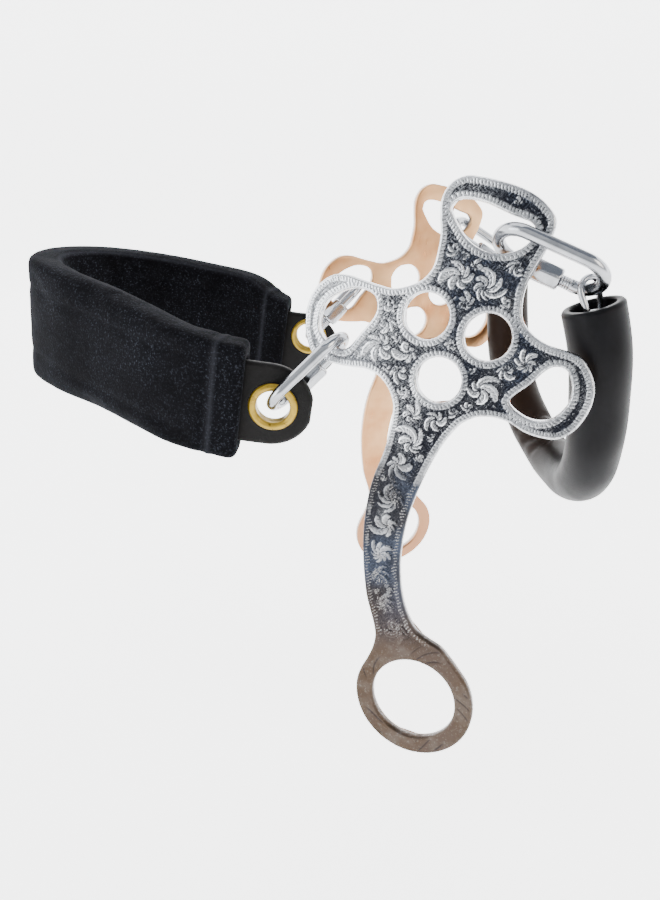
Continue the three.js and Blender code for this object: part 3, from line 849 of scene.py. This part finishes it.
class Link:
    """A screw quick link's own frame: its seat, x along it, y from the nut rod to the plain rod."""

    def __init__(self, name):
        self.name = name
        side, place = name.split("_")[:2]
        seat_joint = f"{side}_cheek_swing" if place == "nose" else f"{side}_curb_link_swing"
        self.seat = joint_point(seat_joint)
        self.x = unit(np.array(JOINTS[f"{side}_{place}_nut_travel"]["axis"]))
        nut = node_points(name + "_nut")
        middle = (nut.min(axis=0) + nut.max(axis=0)) / 2
        away = middle - self.seat
        away -= self.x * away.dot(self.x)
        self.y = -unit(away)
        self.z = np.cross(self.x, self.y)
        wire = node_points(name) - self.seat
        self.wire_radius = np.ptp(wire @ self.z) / 2
        self.bend = np.ptp(wire @ self.y) / 2 - self.wire_radius
        self.pitch = np.ptp(wire @ self.x) - 2 * self.wire_radius
        along = (nut - self.seat) @ self.x
        self.nut_from, self.nut_to = along.min(), along.max()

    def place(self, points):
        x, y, z = np.asarray(points).reshape(-1, 3).T
        return self.seat + np.outer(x, self.x) + np.outer(y, self.y) + np.outer(z, self.z)


THREAD_PITCH = 0.8 * MM
THREAD_DEPTH = 0.2 * MM
WIRE_SIDES = 28
WIRE_END_SHARE = 0.75
SHOULDER_IN_NUT = 2.5 * MM
THREAD_IN_NUT = 3 * MM
PLAIN_BEFORE_BEND = 0.6 * MM


def link_wire(link):
    """The bent wire, from its shoulder under the nut round both bends to its threaded end."""
    bend, pitch = link.bend, link.pitch
    start = link.nut_to - SHOULDER_IN_NUT
    end = link.nut_from + THREAD_IN_NUT
    half_turn = np.linspace(0, math.pi, 60)
    route = [(x, -bend, 0) for x in np.arange(start, pitch - bend, 0.1 * MM)]
    route += [(pitch - bend + bend * math.sin(a), -bend * math.cos(a), 0) for a in half_turn]
    route += [(x, bend, 0) for x in np.linspace(pitch - bend, bend, 24)[1:-1]]
    route += [(bend - bend * math.sin(a), bend * math.cos(a), 0) for a in half_turn]
    route += [(x, -bend, 0) for x in np.linspace(bend, end, 14)[1:]]
    route = np.array(route)
    run = distance_along(route)[:, None]
    turn = run / THREAD_PITCH - full_turn(WIRE_SIDES) / (2 * math.pi)
    tooth = 2 * np.abs(turn - np.floor(turn) - 0.5)
    threaded = run < pitch - bend - start - PLAIN_BEFORE_BEND
    radii = link.wire_radius - THREAD_DEPTH * tooth * threaded
    radii[[0, -1]] *= WIRE_END_SHARE
    _, across, up = carried_frames(route, (0, 0, 1))
    rings = route[:, None] + circles(across, up, WIRE_SIDES) * radii[:, :, None]
    points, faces = close_ends(rings, grid_faces(len(route), WIRE_SIDES))
    add_piece(link.name + "_wire", link.place(points), faces, PLATED, link.name, link.name)


NUT_SIDES = 96
NUT_FLATS = 3.3 * MM
NUT_CORNER = NUT_FLATS / math.cos(math.pi / 6)
NUT_CORNER_WEAR = 0.12 * MM
NUT_BORE = 2.3 * MM
NUT_THREAD_CREST = 2.15 * MM
NUT_FACE = NUT_FLATS - 0.45 * MM
NUT_CONE = NUT_FLATS - 0.35 * MM
NUT_CHAMFER = 0.9 * MM
NUT_MOUTH = 0.2 * MM


def link_nut(link):
    """A hexagonal sleeve with chamfered ends and a bore, fine enough for its rounded corners."""
    nut = node_points(link.name + "_nut") - link.seat
    angle = full_turn(NUT_SIDES)
    local = np.column_stack([nut @ link.y + link.bend, nut @ link.z])
    widest = local[np.argmax(np.hypot(*local.T))]
    first = math.atan2(widest[1], widest[0])
    folded = np.mod(angle - first, math.pi / 3) - math.pi / 6
    hexagon = np.minimum(NUT_FLATS / np.cos(folded), NUT_CORNER - NUT_CORNER_WEAR)
    face = np.minimum(hexagon, NUT_FACE)
    outer = [(0, np.full(NUT_SIDES, NUT_BORE)), (0, (NUT_BORE + face) / 2)]
    for share in (0.03, 0.45, 1):
        cone = NUT_CONE + (NUT_CORNER - NUT_CONE) * share
        outer.append((share * NUT_CHAMFER, np.minimum(hexagon, cone)))
    length = link.nut_to - link.nut_from
    crest = np.full(NUT_SIDES, NUT_THREAD_CREST)
    rings = outer + [(length - x, radius) for x, radius in outer[::-1]]
    rings += [(length - NUT_MOUTH, crest), (NUT_MOUTH, crest)]
    points = []
    for x, radius in rings:
        along = np.full(NUT_SIDES, link.nut_from + x)
        points.append(np.column_stack([along, radius * np.cos(angle) - link.bend, radius * np.sin(angle)]))
    faces = grid_faces(len(rings), NUT_SIDES, closed_rows=True)
    body, node = link.name.replace("_link", "_nut"), link.name + "_nut"
    add_piece(node + "_sleeve", link.place(np.vstack(points)), faces, PLATED, body, node)


links = {f"{side}_{place}": Link(f"{side}_{place}_link") for side in SIDES for place in ("nose", "curb")}
for quick_link in links.values():
    link_wire(quick_link)
    link_nut(quick_link)

# ---------------------------------------------------------------- noseband

EYELETS = {side: joint_point(f"{side}_nose_link_swing") for side in SIDES}
NOSEBAND_BEND = np.array([
    [74.5, 30.5], [52.5, 34.5], [28.5, 33], [7.5, 24], [-5, 7], [-4.5, -9.5], [8, -22], [28.5, -35.5],
    [47.5, -49], [63.5, -59.5],
]) * MM
NOSEBAND_STEP = 0.5 * MM
NOSEBAND_FRONT_POINT = 5
NOSEBAND_FRONT_HEIGHT = -0.3 * MM
TONGUE_LENGTH = 13.5 * MM
TONGUE_HEADINGS = {"right": -4, "left": 0}
TONGUE_DROP = {"right": 5 * MM, "left": 0}
STRAP_WIDTH = 30
STRAP_THICKNESS = 3.2
STRAP_ROUNDING = 0.9
STRAP_STEP = 0.7
STRAP_HOLE = 7.0
SLEEVE_END_FROM_EYELET = 10.5 * MM


class Noseband:
    """The noseband's plane and centre line, from the right tongue's tip round to the left one's."""

    def __init__(self):
        front = np.array([*NOSEBAND_BEND[NOSEBAND_FRONT_POINT], NOSEBAND_FRONT_HEIGHT])
        right, left = EYELETS["right"], EYELETS["left"]
        self.up = unit(np.cross(right - front, left - front))
        self.up *= np.sign(self.up[2])
        level = self.up @ front
        knots = self.tongue("right")
        for x, y in NOSEBAND_BEND:
            knots.append(np.array([x, y, (level - self.up[0] * x - self.up[1] * y) / self.up[2]]))
        knots += self.tongue("left")[::-1]
        self.route = smooth_curve(knots, NOSEBAND_STEP)
        self.length = NOSEBAND_STEP * (len(self.route) - 1)
        self.run = np.linspace(0, self.length, len(self.route))
        self.tangents = units(np.gradient(self.route, axis=0))

    def tongue(self, side):
        heading = math.radians(TONGUE_HEADINGS[side])
        way = np.array([math.cos(heading), math.sin(heading), 0])
        way = unit(way - self.up * way.dot(self.up)) * TONGUE_LENGTH
        middle = EYELETS[side] - self.up * TONGUE_DROP[side]
        return [middle + way, middle, middle - way]

    def place(self, run, high, deep):
        """Points along the run, high towards the noseband's upper edge and deep towards its outside."""
        spot = np.stack([np.interp(run, self.run, self.route[:, k]) for k in range(3)], axis=1)
        tangent = np.stack([np.interp(run, self.run, self.tangents[:, k]) for k in range(3)], axis=1)
        across = np.cross(tangent, self.up)
        across /= -np.linalg.norm(across, axis=1)[:, None]
        return spot + np.outer(high, self.up) + across * np.asarray(deep)[:, None]


noseband = Noseband()


def build_strap():
    """One leather strap with a rounded tongue at each end and an eyelet's hole in each."""
    half = STRAP_WIDTH / 2
    length = noseband.length / MM
    tongue = []
    for share in np.linspace(0, 1, 13):
        run = half * share**1.6
        tongue.append((run, half * math.sqrt(1 - 0.93 * (1 - run / half) ** 2)))
    far = [(length - run, high) for run, high in tongue[::-1]]
    middle = [(run, half) for run in np.linspace(half, length - half, 40)[1:-1]]
    upper = tongue + middle + far
    outline = np.array(upper + [(run, -high) for run, high in upper[::-1]])
    loops = [outline]
    for side, run in (("right", TONGUE_LENGTH / MM), ("left", length - TONGUE_LENGTH / MM)):
        angle = full_turn(40)
        drop = TONGUE_DROP[side] / MM
        loops.append(np.column_stack([run + STRAP_HOLE * np.cos(angle), drop + STRAP_HOLE * np.sin(angle)]))
    points, faces, _ = plate(loops, STRAP_THICKNESS, STRAP_ROUNDING, STRAP_STEP, bends=True)
    placed = noseband.place(*(points.T * MM))
    add_piece("noseband_strap_leather", placed, faces, LEATHER, "noseband", "noseband_strap")


build_strap()


EYELET_SEGMENTS = 72


def eyelet_ring(name, node, profile):
    """A ring turned about the eyelet's axis from a profile of (radius, height outwards) in millimetres."""
    side = name.split("_")[0]
    along = noseband.tongue(side)
    axis = unit(np.cross(noseband.up, along[0] - along[2]))
    axis *= np.sign(axis[1] * SIDES[side])
    first = noseband.up
    second = np.cross(axis, first)
    angle = full_turn(EYELET_SEGMENTS)
    around = np.outer(np.cos(angle), first) + np.outer(np.sin(angle), second)
    rings = [EYELETS[side] + MM * (radius * around + height * axis) for radius, height in profile]
    faces = grid_faces(len(rings), EYELET_SEGMENTS, closed_rows=True)
    add_piece(name, np.vstack(rings), faces, BRASS, "noseband", node)


def arc_profile(centre, radius, first, last, steps):
    angles = np.radians(np.linspace(first, last, steps))
    return [(centre[0] + radius[0] * math.cos(a), centre[1] + radius[1] * math.sin(a)) for a in angles]


EYELET_BORE = 5.9
EYELET_BARREL = 6.7
EYELET_FLANGE = 8.7
EYELET_SEAT = STRAP_THICKNESS / 2 + 0.1

EYELET_DOME = 1.2
WASHER_MIDDLE = 7.1
WASHER_HALF_WIDTH = 1.1
WASHER_DOME = 0.75


def build_eyelets():
    """In each tongue a domed eyelet with its barrel, and a domed washer round the barrel inside."""
    middle, reach = (EYELET_FLANGE + EYELET_BORE) / 2, (EYELET_FLANGE - EYELET_BORE) / 2
    dome = arc_profile((middle, EYELET_SEAT + 0.15), (reach, EYELET_DOME), 0, 180, 14)
    dome += [(EYELET_BORE, -EYELET_SEAT), (EYELET_BARREL, -EYELET_SEAT), (EYELET_BARREL, EYELET_SEAT)]
    dome.append((EYELET_FLANGE - 0.3, EYELET_SEAT))
    rim = arc_profile((WASHER_MIDDLE, -EYELET_SEAT - 0.25), (WASHER_HALF_WIDTH, WASHER_DOME), 0, -180, 10)
    rim.append((WASHER_MIDDLE - WASHER_HALF_WIDTH, -EYELET_SEAT - 0.02))
    rim.append((WASHER_MIDDLE + WASHER_HALF_WIDTH, -EYELET_SEAT - 0.02))
    for side in SIDES:
        eyelet_ring(f"{side}_eyelet_dome", f"{side}_eyelet", dome)
        eyelet_ring(f"{side}_eyelet_washer_rim", f"{side}_eyelet_washer", rim)


build_eyelets()

# ---------------------------------------------------------------- padded sleeve

SLEEVE_HALF_WIDTH = 21 * MM
SLEEVE_WIDENING = 4 * MM
SLEEVE_HALF_DEPTH = 6.5 * MM
SLEEVE_CORNER = 2.6 * MM
SLEEVE_STATIONS = 170
SLEEVE_SIDES = 72
SLEEVE_ROUNDING = 2.2 * MM
MOUTH_HALF_WIDTH = (STRAP_WIDTH / 2 + 0.8) * MM
MOUTH_HALF_DEPTH = (STRAP_THICKNESS / 2 + 0.7) * MM
HEM_FROM_END = 9.5 * MM
STRAP_EDGE = 13.5 * MM
PUFF_LIMIT = 1.3 * MM
PUFF_FRAMES = 20
CLOTH = {
    "quality": 5, "mass": 0.3, "tension_stiffness": 12, "compression_stiffness": 12, "shear_stiffness": 4,
    "bending_stiffness": 1.2, "use_pressure": True, "uniform_pressure_force": 4,
}
FUZZ_SEED = 5
NO_HEM_NEAR = 9


def sleeve_section(half_width, half_depth, corner):
    """A rounded rectangle as SLEEVE_SIDES evenly spaced (high, deep) points."""
    corner = min(corner, half_depth * 0.98)
    x, y = half_width - corner, half_depth - corner
    knots = []
    for centre, first in (((x, y), 0), ((-x, y), 90), ((-x, -y), 180), ((x, -y), 270)):
        knots += arc_profile(centre, (corner, corner), first, first + 90, 12)
    ring = np.array(knots + knots[:1])
    return resample(ring, np.linalg.norm(np.diff(ring, axis=0), axis=1).sum() / SLEEVE_SIDES, closed=True)


def sleeve_rings():
    """The sleeve's rings from mouth to mouth, their flat sections, where each lies and where the ends are."""
    start = TONGUE_LENGTH + SLEEVE_END_FROM_EYELET
    end = noseband.length - start
    lip = [(SLEEVE_ROUNDING * (1 - math.sin(a)), SLEEVE_ROUNDING * (1 - math.cos(a)))
           for a in np.radians((0, 30, 60))]
    rows = [(start + 3 * MM, 0, True), (start + 0.1 * MM, 0, True)]
    rows += [(start + into, inset, False) for inset, into in lip]
    straight = np.linspace(start + SLEEVE_ROUNDING, end - SLEEVE_ROUNDING, SLEEVE_STATIONS)
    rows += [(run, 0, False) for run in straight]
    rows += [(end - into, inset, False) for inset, into in lip[::-1]]
    rows += [(end - 0.1 * MM, 0, True), (end - 3 * MM, 0, True)]
    rings, sections = [], []
    for run, inset, in_mouth in rows:
        share = (run - start) / (end - start)
        wider = SLEEVE_WIDENING * max(math.sin(math.pi * share), 0) ** 1.5
        if in_mouth:
            section = sleeve_section(MOUTH_HALF_WIDTH, MOUTH_HALF_DEPTH, MOUTH_HALF_DEPTH * 0.9)
        else:
            half_width = SLEEVE_HALF_WIDTH + wider - inset
            section = sleeve_section(half_width, SLEEVE_HALF_DEPTH - inset, SLEEVE_CORNER)
        rings.append(noseband.place(np.full(SLEEVE_SIDES, run), section[:, 0], section[:, 1]))
        sections.append(section)
    return np.array(rings), np.array(sections), np.array([row[0] for row in rows]), start, end


def puff(obj, pinned):
    """Blows the sleeve up a little by cloth simulation, each point moving no further than PUFF_LIMIT."""
    rest = np.array([vertex.co[:] for vertex in obj.data.vertices])
    group = obj.vertex_groups.new(name="pinned")
    for index, weight in enumerate(pinned):
        if weight > 0:
            group.add([index], float(weight), "REPLACE")
    cloth = obj.modifiers.new("cloth", "CLOTH")
    for key, value in CLOTH.items():
        setattr(cloth.settings, key, value)
    cloth.settings.vertex_group_mass = "pinned"
    cloth.settings.effector_weights.gravity = 0
    cloth.collision_settings.use_collision = False
    scene = bpy.context.scene
    scene.frame_start, scene.frame_end = 1, PUFF_FRAMES
    for number in range(1, PUFF_FRAMES + 1):
        scene.frame_set(number)
    moved = np.empty(3 * len(rest))
    evaluated = obj.evaluated_get(bpy.context.evaluated_depsgraph_get())
    evaluated.data.vertices.foreach_get("co", moved)
    obj.modifiers.remove(cloth)
    scene.frame_set(1)
    step = moved.reshape(-1, 3) - rest
    length = np.maximum(np.linalg.norm(step, axis=1), 1e-9)
    return rest + step * (np.minimum(length, PUFF_LIMIT * np.tanh(length / PUFF_LIMIT)) / length)[:, None]


def build_sleeve():
    """The blown-up sleeve with its hems, seams, the strap's edges showing through, and a fuzzy surface."""
    rings, sections, runs, start, end = sleeve_rings()
    rows, columns = rings.shape[:2]
    points, faces = close_ends(rings, grid_faces(rows, columns))
    obj = make_object("noseband_sleeve_velvet", points, faces, VELVET)
    face_outwards(obj)
    from_end = np.minimum(runs - start, end - runs)
    pinned = np.where(from_end < 1.5 * MM, 1.0, np.where(from_end < HEM_FROM_END, 0.25, 0.0))
    pinned[:2] = pinned[-2:] = 1
    pinned = np.concatenate([np.repeat(pinned, columns), [1, 1]])
    points = puff(obj, pinned)
    obj.data.vertices.foreach_set("co", points.ravel())
    obj.data.update()
    normals = np.empty(3 * len(points))
    obj.data.vertices.foreach_get("normal", normals)
    normals = normals.reshape(-1, 3)
    from_end = np.repeat(from_end, columns)
    from_hem = np.append(from_end, [NO_HEM_NEAR, NO_HEM_NEAR]) - HEM_FROM_END
    ridge = 0.35 * MM * hump(from_hem, 0.8 * MM)
    channel = -0.5 * MM * hump(from_hem - 1.9 * MM, 0.9 * MM)
    channel -= 0.3 * MM * hump(from_hem + 1.9 * MM, 0.9 * MM)
    high = sections[:, :, 0].ravel()
    inside = ease(np.append(from_end, [0, 0]), HEM_FROM_END, 4 * HEM_FROM_END)
    from_strap_edge = np.abs(np.append(high, [0, 0])) - STRAP_EDGE
    channel -= 0.55 * MM * inside * hump(from_strap_edge, 1.3 * MM)
    rng = np.random.default_rng(FUZZ_SEED)
    fuzz = rng.normal(0, 0.035 * MM, len(points))
    points = points + normals * (ridge + channel + fuzz)[:, None]
    obj.data.vertices.foreach_set("co", points.ravel())
    obj.data.update()
    hem = 0.7 * hump(from_hem, 0.7 * MM)
    corner_high = sections[:, :, 0].max(axis=1, keepdims=True) - 0.3 * SLEEVE_CORNER
    corner_deep = sections[:, :, 1].max(axis=1, keepdims=True) - 0.3 * SLEEVE_CORNER
    off_corner = np.hypot(sections[:, :, 0] - corner_high, sections[:, :, 1] - corner_deep)
    rim = 0.9 * hump(off_corner, 0.55 * MM).ravel()
    tint(obj, "seam", np.maximum(hem, np.append(rim, [0, 0])))
    smooth = obj.modifiers.new("smooth", "SUBSURF")
    smooth.levels = smooth.render_levels = 1
    settle(obj, "noseband", "noseband_sleeve")


build_sleeve()

# ---------------------------------------------------------------- curb tube and chain

TUBE_ROUTE = np.array([
    [200, -79.5, 1.7], [204, -74, -16.3], [207, -67, -33.3], [210, -55, -48.8], [212.5, -37, -59.3],
    [213.5, -16, -63.8], [212, 4, -62.3], [208, 20, -54.3], [202.8, 30, -41.3], [198.8, 36, -25.3],
    [197.5, 40.3, -8.3],
]) * MM
TUBE_RADIUS = 9.5 * MM
TUBE_BORE = 7.0 * MM
TUBE_MOUTH_FROM_HOOK = 5.0 * MM
TUBE_STEP = 0.8 * MM
TUBE_SIDES = 56
TUBE_BULGE_LIMIT = 0.3 * MM
TUBE_LIP = 0.6 * MM
TUBE_FOLDS = ((0.615, 1.3, 2.6), (0.66, 1.0, 2.0), (0.57, 0.7, 2.4), (0.35, 0.5, 3.0))


def curb_hook(side, towards):
    link = links[side + "_curb"]
    centre = link.place([(link.pitch - link.bend, 0, 0)])[0]
    fall = towards - centre
    fall = unit(fall - link.z * fall.dot(link.z))
    return centre + fall * link.bend


def build_tube():
    """The hollow tube, with a few folds on the inside of its bend: TUBE_FOLDS has place, depth and width."""
    route = [curb_hook("left", TUBE_ROUTE[0]), *TUBE_ROUTE, curb_hook("right", TUBE_ROUTE[-1])]
    line = smooth_curve(route, TUBE_STEP)
    skip = int(round(TUBE_MOUTH_FROM_HOOK / TUBE_STEP))
    line = line[skip : len(line) - skip]
    run = np.arange(len(line)) * TUBE_STEP
    angle = full_turn(TUBE_SIDES)
    outer = np.full((len(line), TUBE_SIDES), TUBE_RADIUS)
    tangents, across, up = carried_frames(line, (1, 0, 0))
    around = circles(across, up, TUBE_SIDES)
    turn = np.gradient(tangents, axis=0)
    bend = np.linalg.norm(turn, axis=1)
    inner_way = turn / np.maximum(bend, 1e-9)[:, None]
    facing = np.einsum("ijk,ik->ij", around, inner_way)
    for share, depth, width in TUBE_FOLDS:
        wander = 1.8 * MM * np.sin(3 * angle + 7 * share)
        fold = hump(run[:, None] - share * run[-1] - wander, width * MM)
        outer -= depth * MM * fold * ease(facing, 0.1, 0.95)
        outer += 0.35 * depth * MM * fold * ease(-facing, 0.2, 1.0)
    wave = 0.08 * MM * np.sin(run * 260)[:, None] * np.cos(2 * angle + 1)
    outer = np.minimum(outer + wave, TUBE_RADIUS + TUBE_BULGE_LIMIT)
    end = np.minimum(run, run[-1] - run)
    outer -= TUBE_LIP * (1 - np.clip(end / TUBE_STEP, 0, 1)[:, None]) ** 2
    shell = line[:, None] + around * outer[:, :, None]
    bore = line[:, None] + around * TUBE_BORE
    rings = np.concatenate([shell, bore[::-1]])
    faces = grid_faces(len(rings), TUBE_SIDES, closed_rows=True)
    points = rings.reshape(-1, 3)
    obj = add_piece("curb_tube_rubber", points, faces, RUBBER, "curb", "curb_tube")
    # Painted light showing through the rubber: brown on the far arm and a little on the outer side of the
    # bend.
    warm = ease(points[:, 1], -0.045, 0.02) * 0.75
    warm = np.maximum(warm, 0.3 * ease(points[:, 0], 0.214, 0.224))
    tint(obj, "warmth", warm)


build_tube()


CHAIN_LINKS = 22
CHAIN_TWIST = 16
CHAIN_WIRE_SWELL = 1.02
CHAIN_STEP = 0.9 * MM
CHAIN_SIDES = 14


def chain_link(name):
    """A curb-chain link: a long wire loop given a twist about its length, from its CAD node's own axes."""
    points = np.unique(np.round(node_points(name), 7), axis=0)
    middle = points.mean(axis=0)
    _, _, axes = np.linalg.svd(points - middle, full_matrices=False)
    spread = [np.ptp((points - middle) @ axis) / 2 for axis in axes]
    wire = spread[2]
    bend = spread[1] - wire
    straight = spread[0] - wire - bend
    half_turn = np.linspace(0, math.pi, 12)
    loop = [(straight + bend * math.sin(a), -bend * math.cos(a)) for a in half_turn]
    loop += [(-x, -y) for x, y in loop]
    loop = resample(np.array(loop + loop[:1]), CHAIN_STEP, closed=True)
    turn = math.radians(CHAIN_TWIST) * loop[:, 0] / (straight + bend)
    line = np.column_stack([loop[:, 0], loop[:, 1] * np.cos(turn), loop[:, 1] * np.sin(turn)])
    ahead = units(np.roll(line, -1, axis=0) - np.roll(line, 1, axis=0))
    flat = np.column_stack([np.zeros(len(line)), -np.sin(turn), np.cos(turn)])
    outwards = units(np.cross(ahead, flat))
    around = circles(outwards, np.cross(outwards, ahead), CHAIN_SIDES)
    rings = line[:, None] + around * wire * CHAIN_WIRE_SWELL
    faces = grid_faces(len(line), CHAIN_SIDES, closed_rows=True)
    placed = middle + rings.reshape(-1, 3) @ axes
    add_piece(name.replace("curb_chain_link", "twisted_link"), placed, faces, PLATED, "curb", name)


for number in range(1, CHAIN_LINKS + 1):
    chain_link(f"curb_chain_link_{number:02d}")

# ---------------------------------------------------------------- floor, lights and camera

LOWEST = CAD_BOX[0][2]
SWING_ROOM = 20 * MM
PAPER_GLOW = 2.4
PAPER_GLOW_IN_FRONT = 0.1
PAPER_PALE, PAPER_WHITE, PAPER_GREY = (0.96, 0.96, 0.955), (0.98, 0.98, 0.98), (0.42, 0.43, 0.44)
ROOM_LIGHT = 0.6
ROOM_COLOUR = (0.78, 0.85, 0.97, 1)
BOWL_MIDDLE = 0.1
FLOOR_RADIUS = 1.5
BOWL_CURVE = 0.8
WALL_TOP = 2.6
BOWL_SIDES = 64
RING_MIDDLE = (cheeks["left"].centre + cheeks["right"].centre) / 2


def build_stage():
    """A pale floor that curves up into a pale wall all round, brighter behind than in front."""
    paper = Shader("backdrop_paper", roughness=0.9, specular_ior_level=0.1)
    pale = paper.mix(paper.noise(3, 2, 0.5), PAPER_PALE, PAPER_WHITE)
    split = paper.node("SeparateXYZ")
    paper.link(paper.place(), split.inputs["Vector"])
    behind = paper.ramp(split.outputs["Y"], -0.9, -0.3, 0, 1)
    paper.set("Base Color", paper.mix(behind, PAPER_GREY, pale))
    paper.set("Emission Color", pale)
    paper.set("Emission Strength", paper.ramp(behind, 0, 1, PAPER_GLOW_IN_FRONT, PAPER_GLOW))
    paper.bump(paper.noise(900, 2, 0.5), 0.05, 0.0002)
    height = LOWEST - SWING_ROOM
    profile = [(share * FLOOR_RADIUS, 0) for share in (0.2, 0.4, 0.6, 0.8, 1)]
    for a in np.linspace(0.1, math.pi / 2, 12):
        profile.append((FLOOR_RADIUS + BOWL_CURVE * math.sin(a), BOWL_CURVE * (1 - math.cos(a))))
    profile.append((FLOOR_RADIUS + BOWL_CURVE, WALL_TOP))
    points = []
    for radius, rise in profile:
        for a in full_turn(BOWL_SIDES):
            points.append((radius * math.cos(a) + BOWL_MIDDLE, radius * math.sin(a), height + rise))
    points.append((BOWL_MIDDLE, 0, height))
    faces = grid_faces(len(profile), BOWL_SIDES)
    faces += [(len(points) - 1, (j + 1) % BOWL_SIDES, j) for j in range(BOWL_SIDES)]
    make_object("backdrop", points, faces, paper.material)

    world = bpy.data.worlds.new("studio")
    world.use_nodes = True
    background = world.node_tree.nodes["Background"]
    background.inputs["Color"].default_value = ROOM_COLOUR
    background.inputs["Strength"].default_value = ROOM_LIGHT
    bpy.context.scene.world = world


LIT_POINT = (0.11, -0.02, -0.03)


def area_light(name, place, size, power, colour=(1, 1, 1)):
    light = bpy.data.lights.new(name, "AREA")
    light.shape = "RECTANGLE"
    light.size, light.size_y = size
    light.energy = power
    light.color = colour
    obj = bpy.data.objects.new(name, light)
    obj.location = place
    obj.rotation_euler = (Vector(LIT_POINT) - Vector(place)).to_track_quat("-Z", "Y").to_euler()
    bpy.context.scene.collection.objects.link(obj)


CAMERA_FROM_RINGS = np.array([-22.1, -273.5, 170.8]) * MM
CAMERA_DOWN = 20.1
CAMERA_TURN = 2.08
CAMERA_ROLL = -0.27
FOCAL_LENGTH = 27.2
SENSOR = 36


def build_camera():
    data = bpy.data.cameras.new("camera")
    data.sensor_fit = "VERTICAL"
    data.sensor_height = SENSOR
    data.lens = FOCAL_LENGTH
    data.clip_start = 0.01
    camera = bpy.data.objects.new("camera", data)
    turn = Matrix.Rotation(math.radians(CAMERA_TURN), 4, "Z")
    tilt = Matrix.Rotation(math.radians(90 - CAMERA_DOWN), 4, "X")
    roll = Matrix.Rotation(math.radians(CAMERA_ROLL), 4, "Z")
    camera.matrix_world = Matrix.Translation(RING_MIDDLE + CAMERA_FROM_RINGS) @ turn @ tilt @ roll
    bpy.context.scene.collection.objects.link(camera)
    bpy.context.scene.camera = camera


build_stage()
area_light("overhead", (0.0, 0.1, 1.1), (1.3, 1.0), 12)
area_light("window", (-0.75, -0.55, 0.05), (0.6, 0.7), 9, (0.95, 0.98, 1))
area_light("warm_side", (0.75, -0.75, 0.3), (0.45, 0.6), 5, (1, 0.9, 0.78))
area_light("behind", (0.3, 1.0, 0.8), (1.0, 0.4), 3)
build_camera()
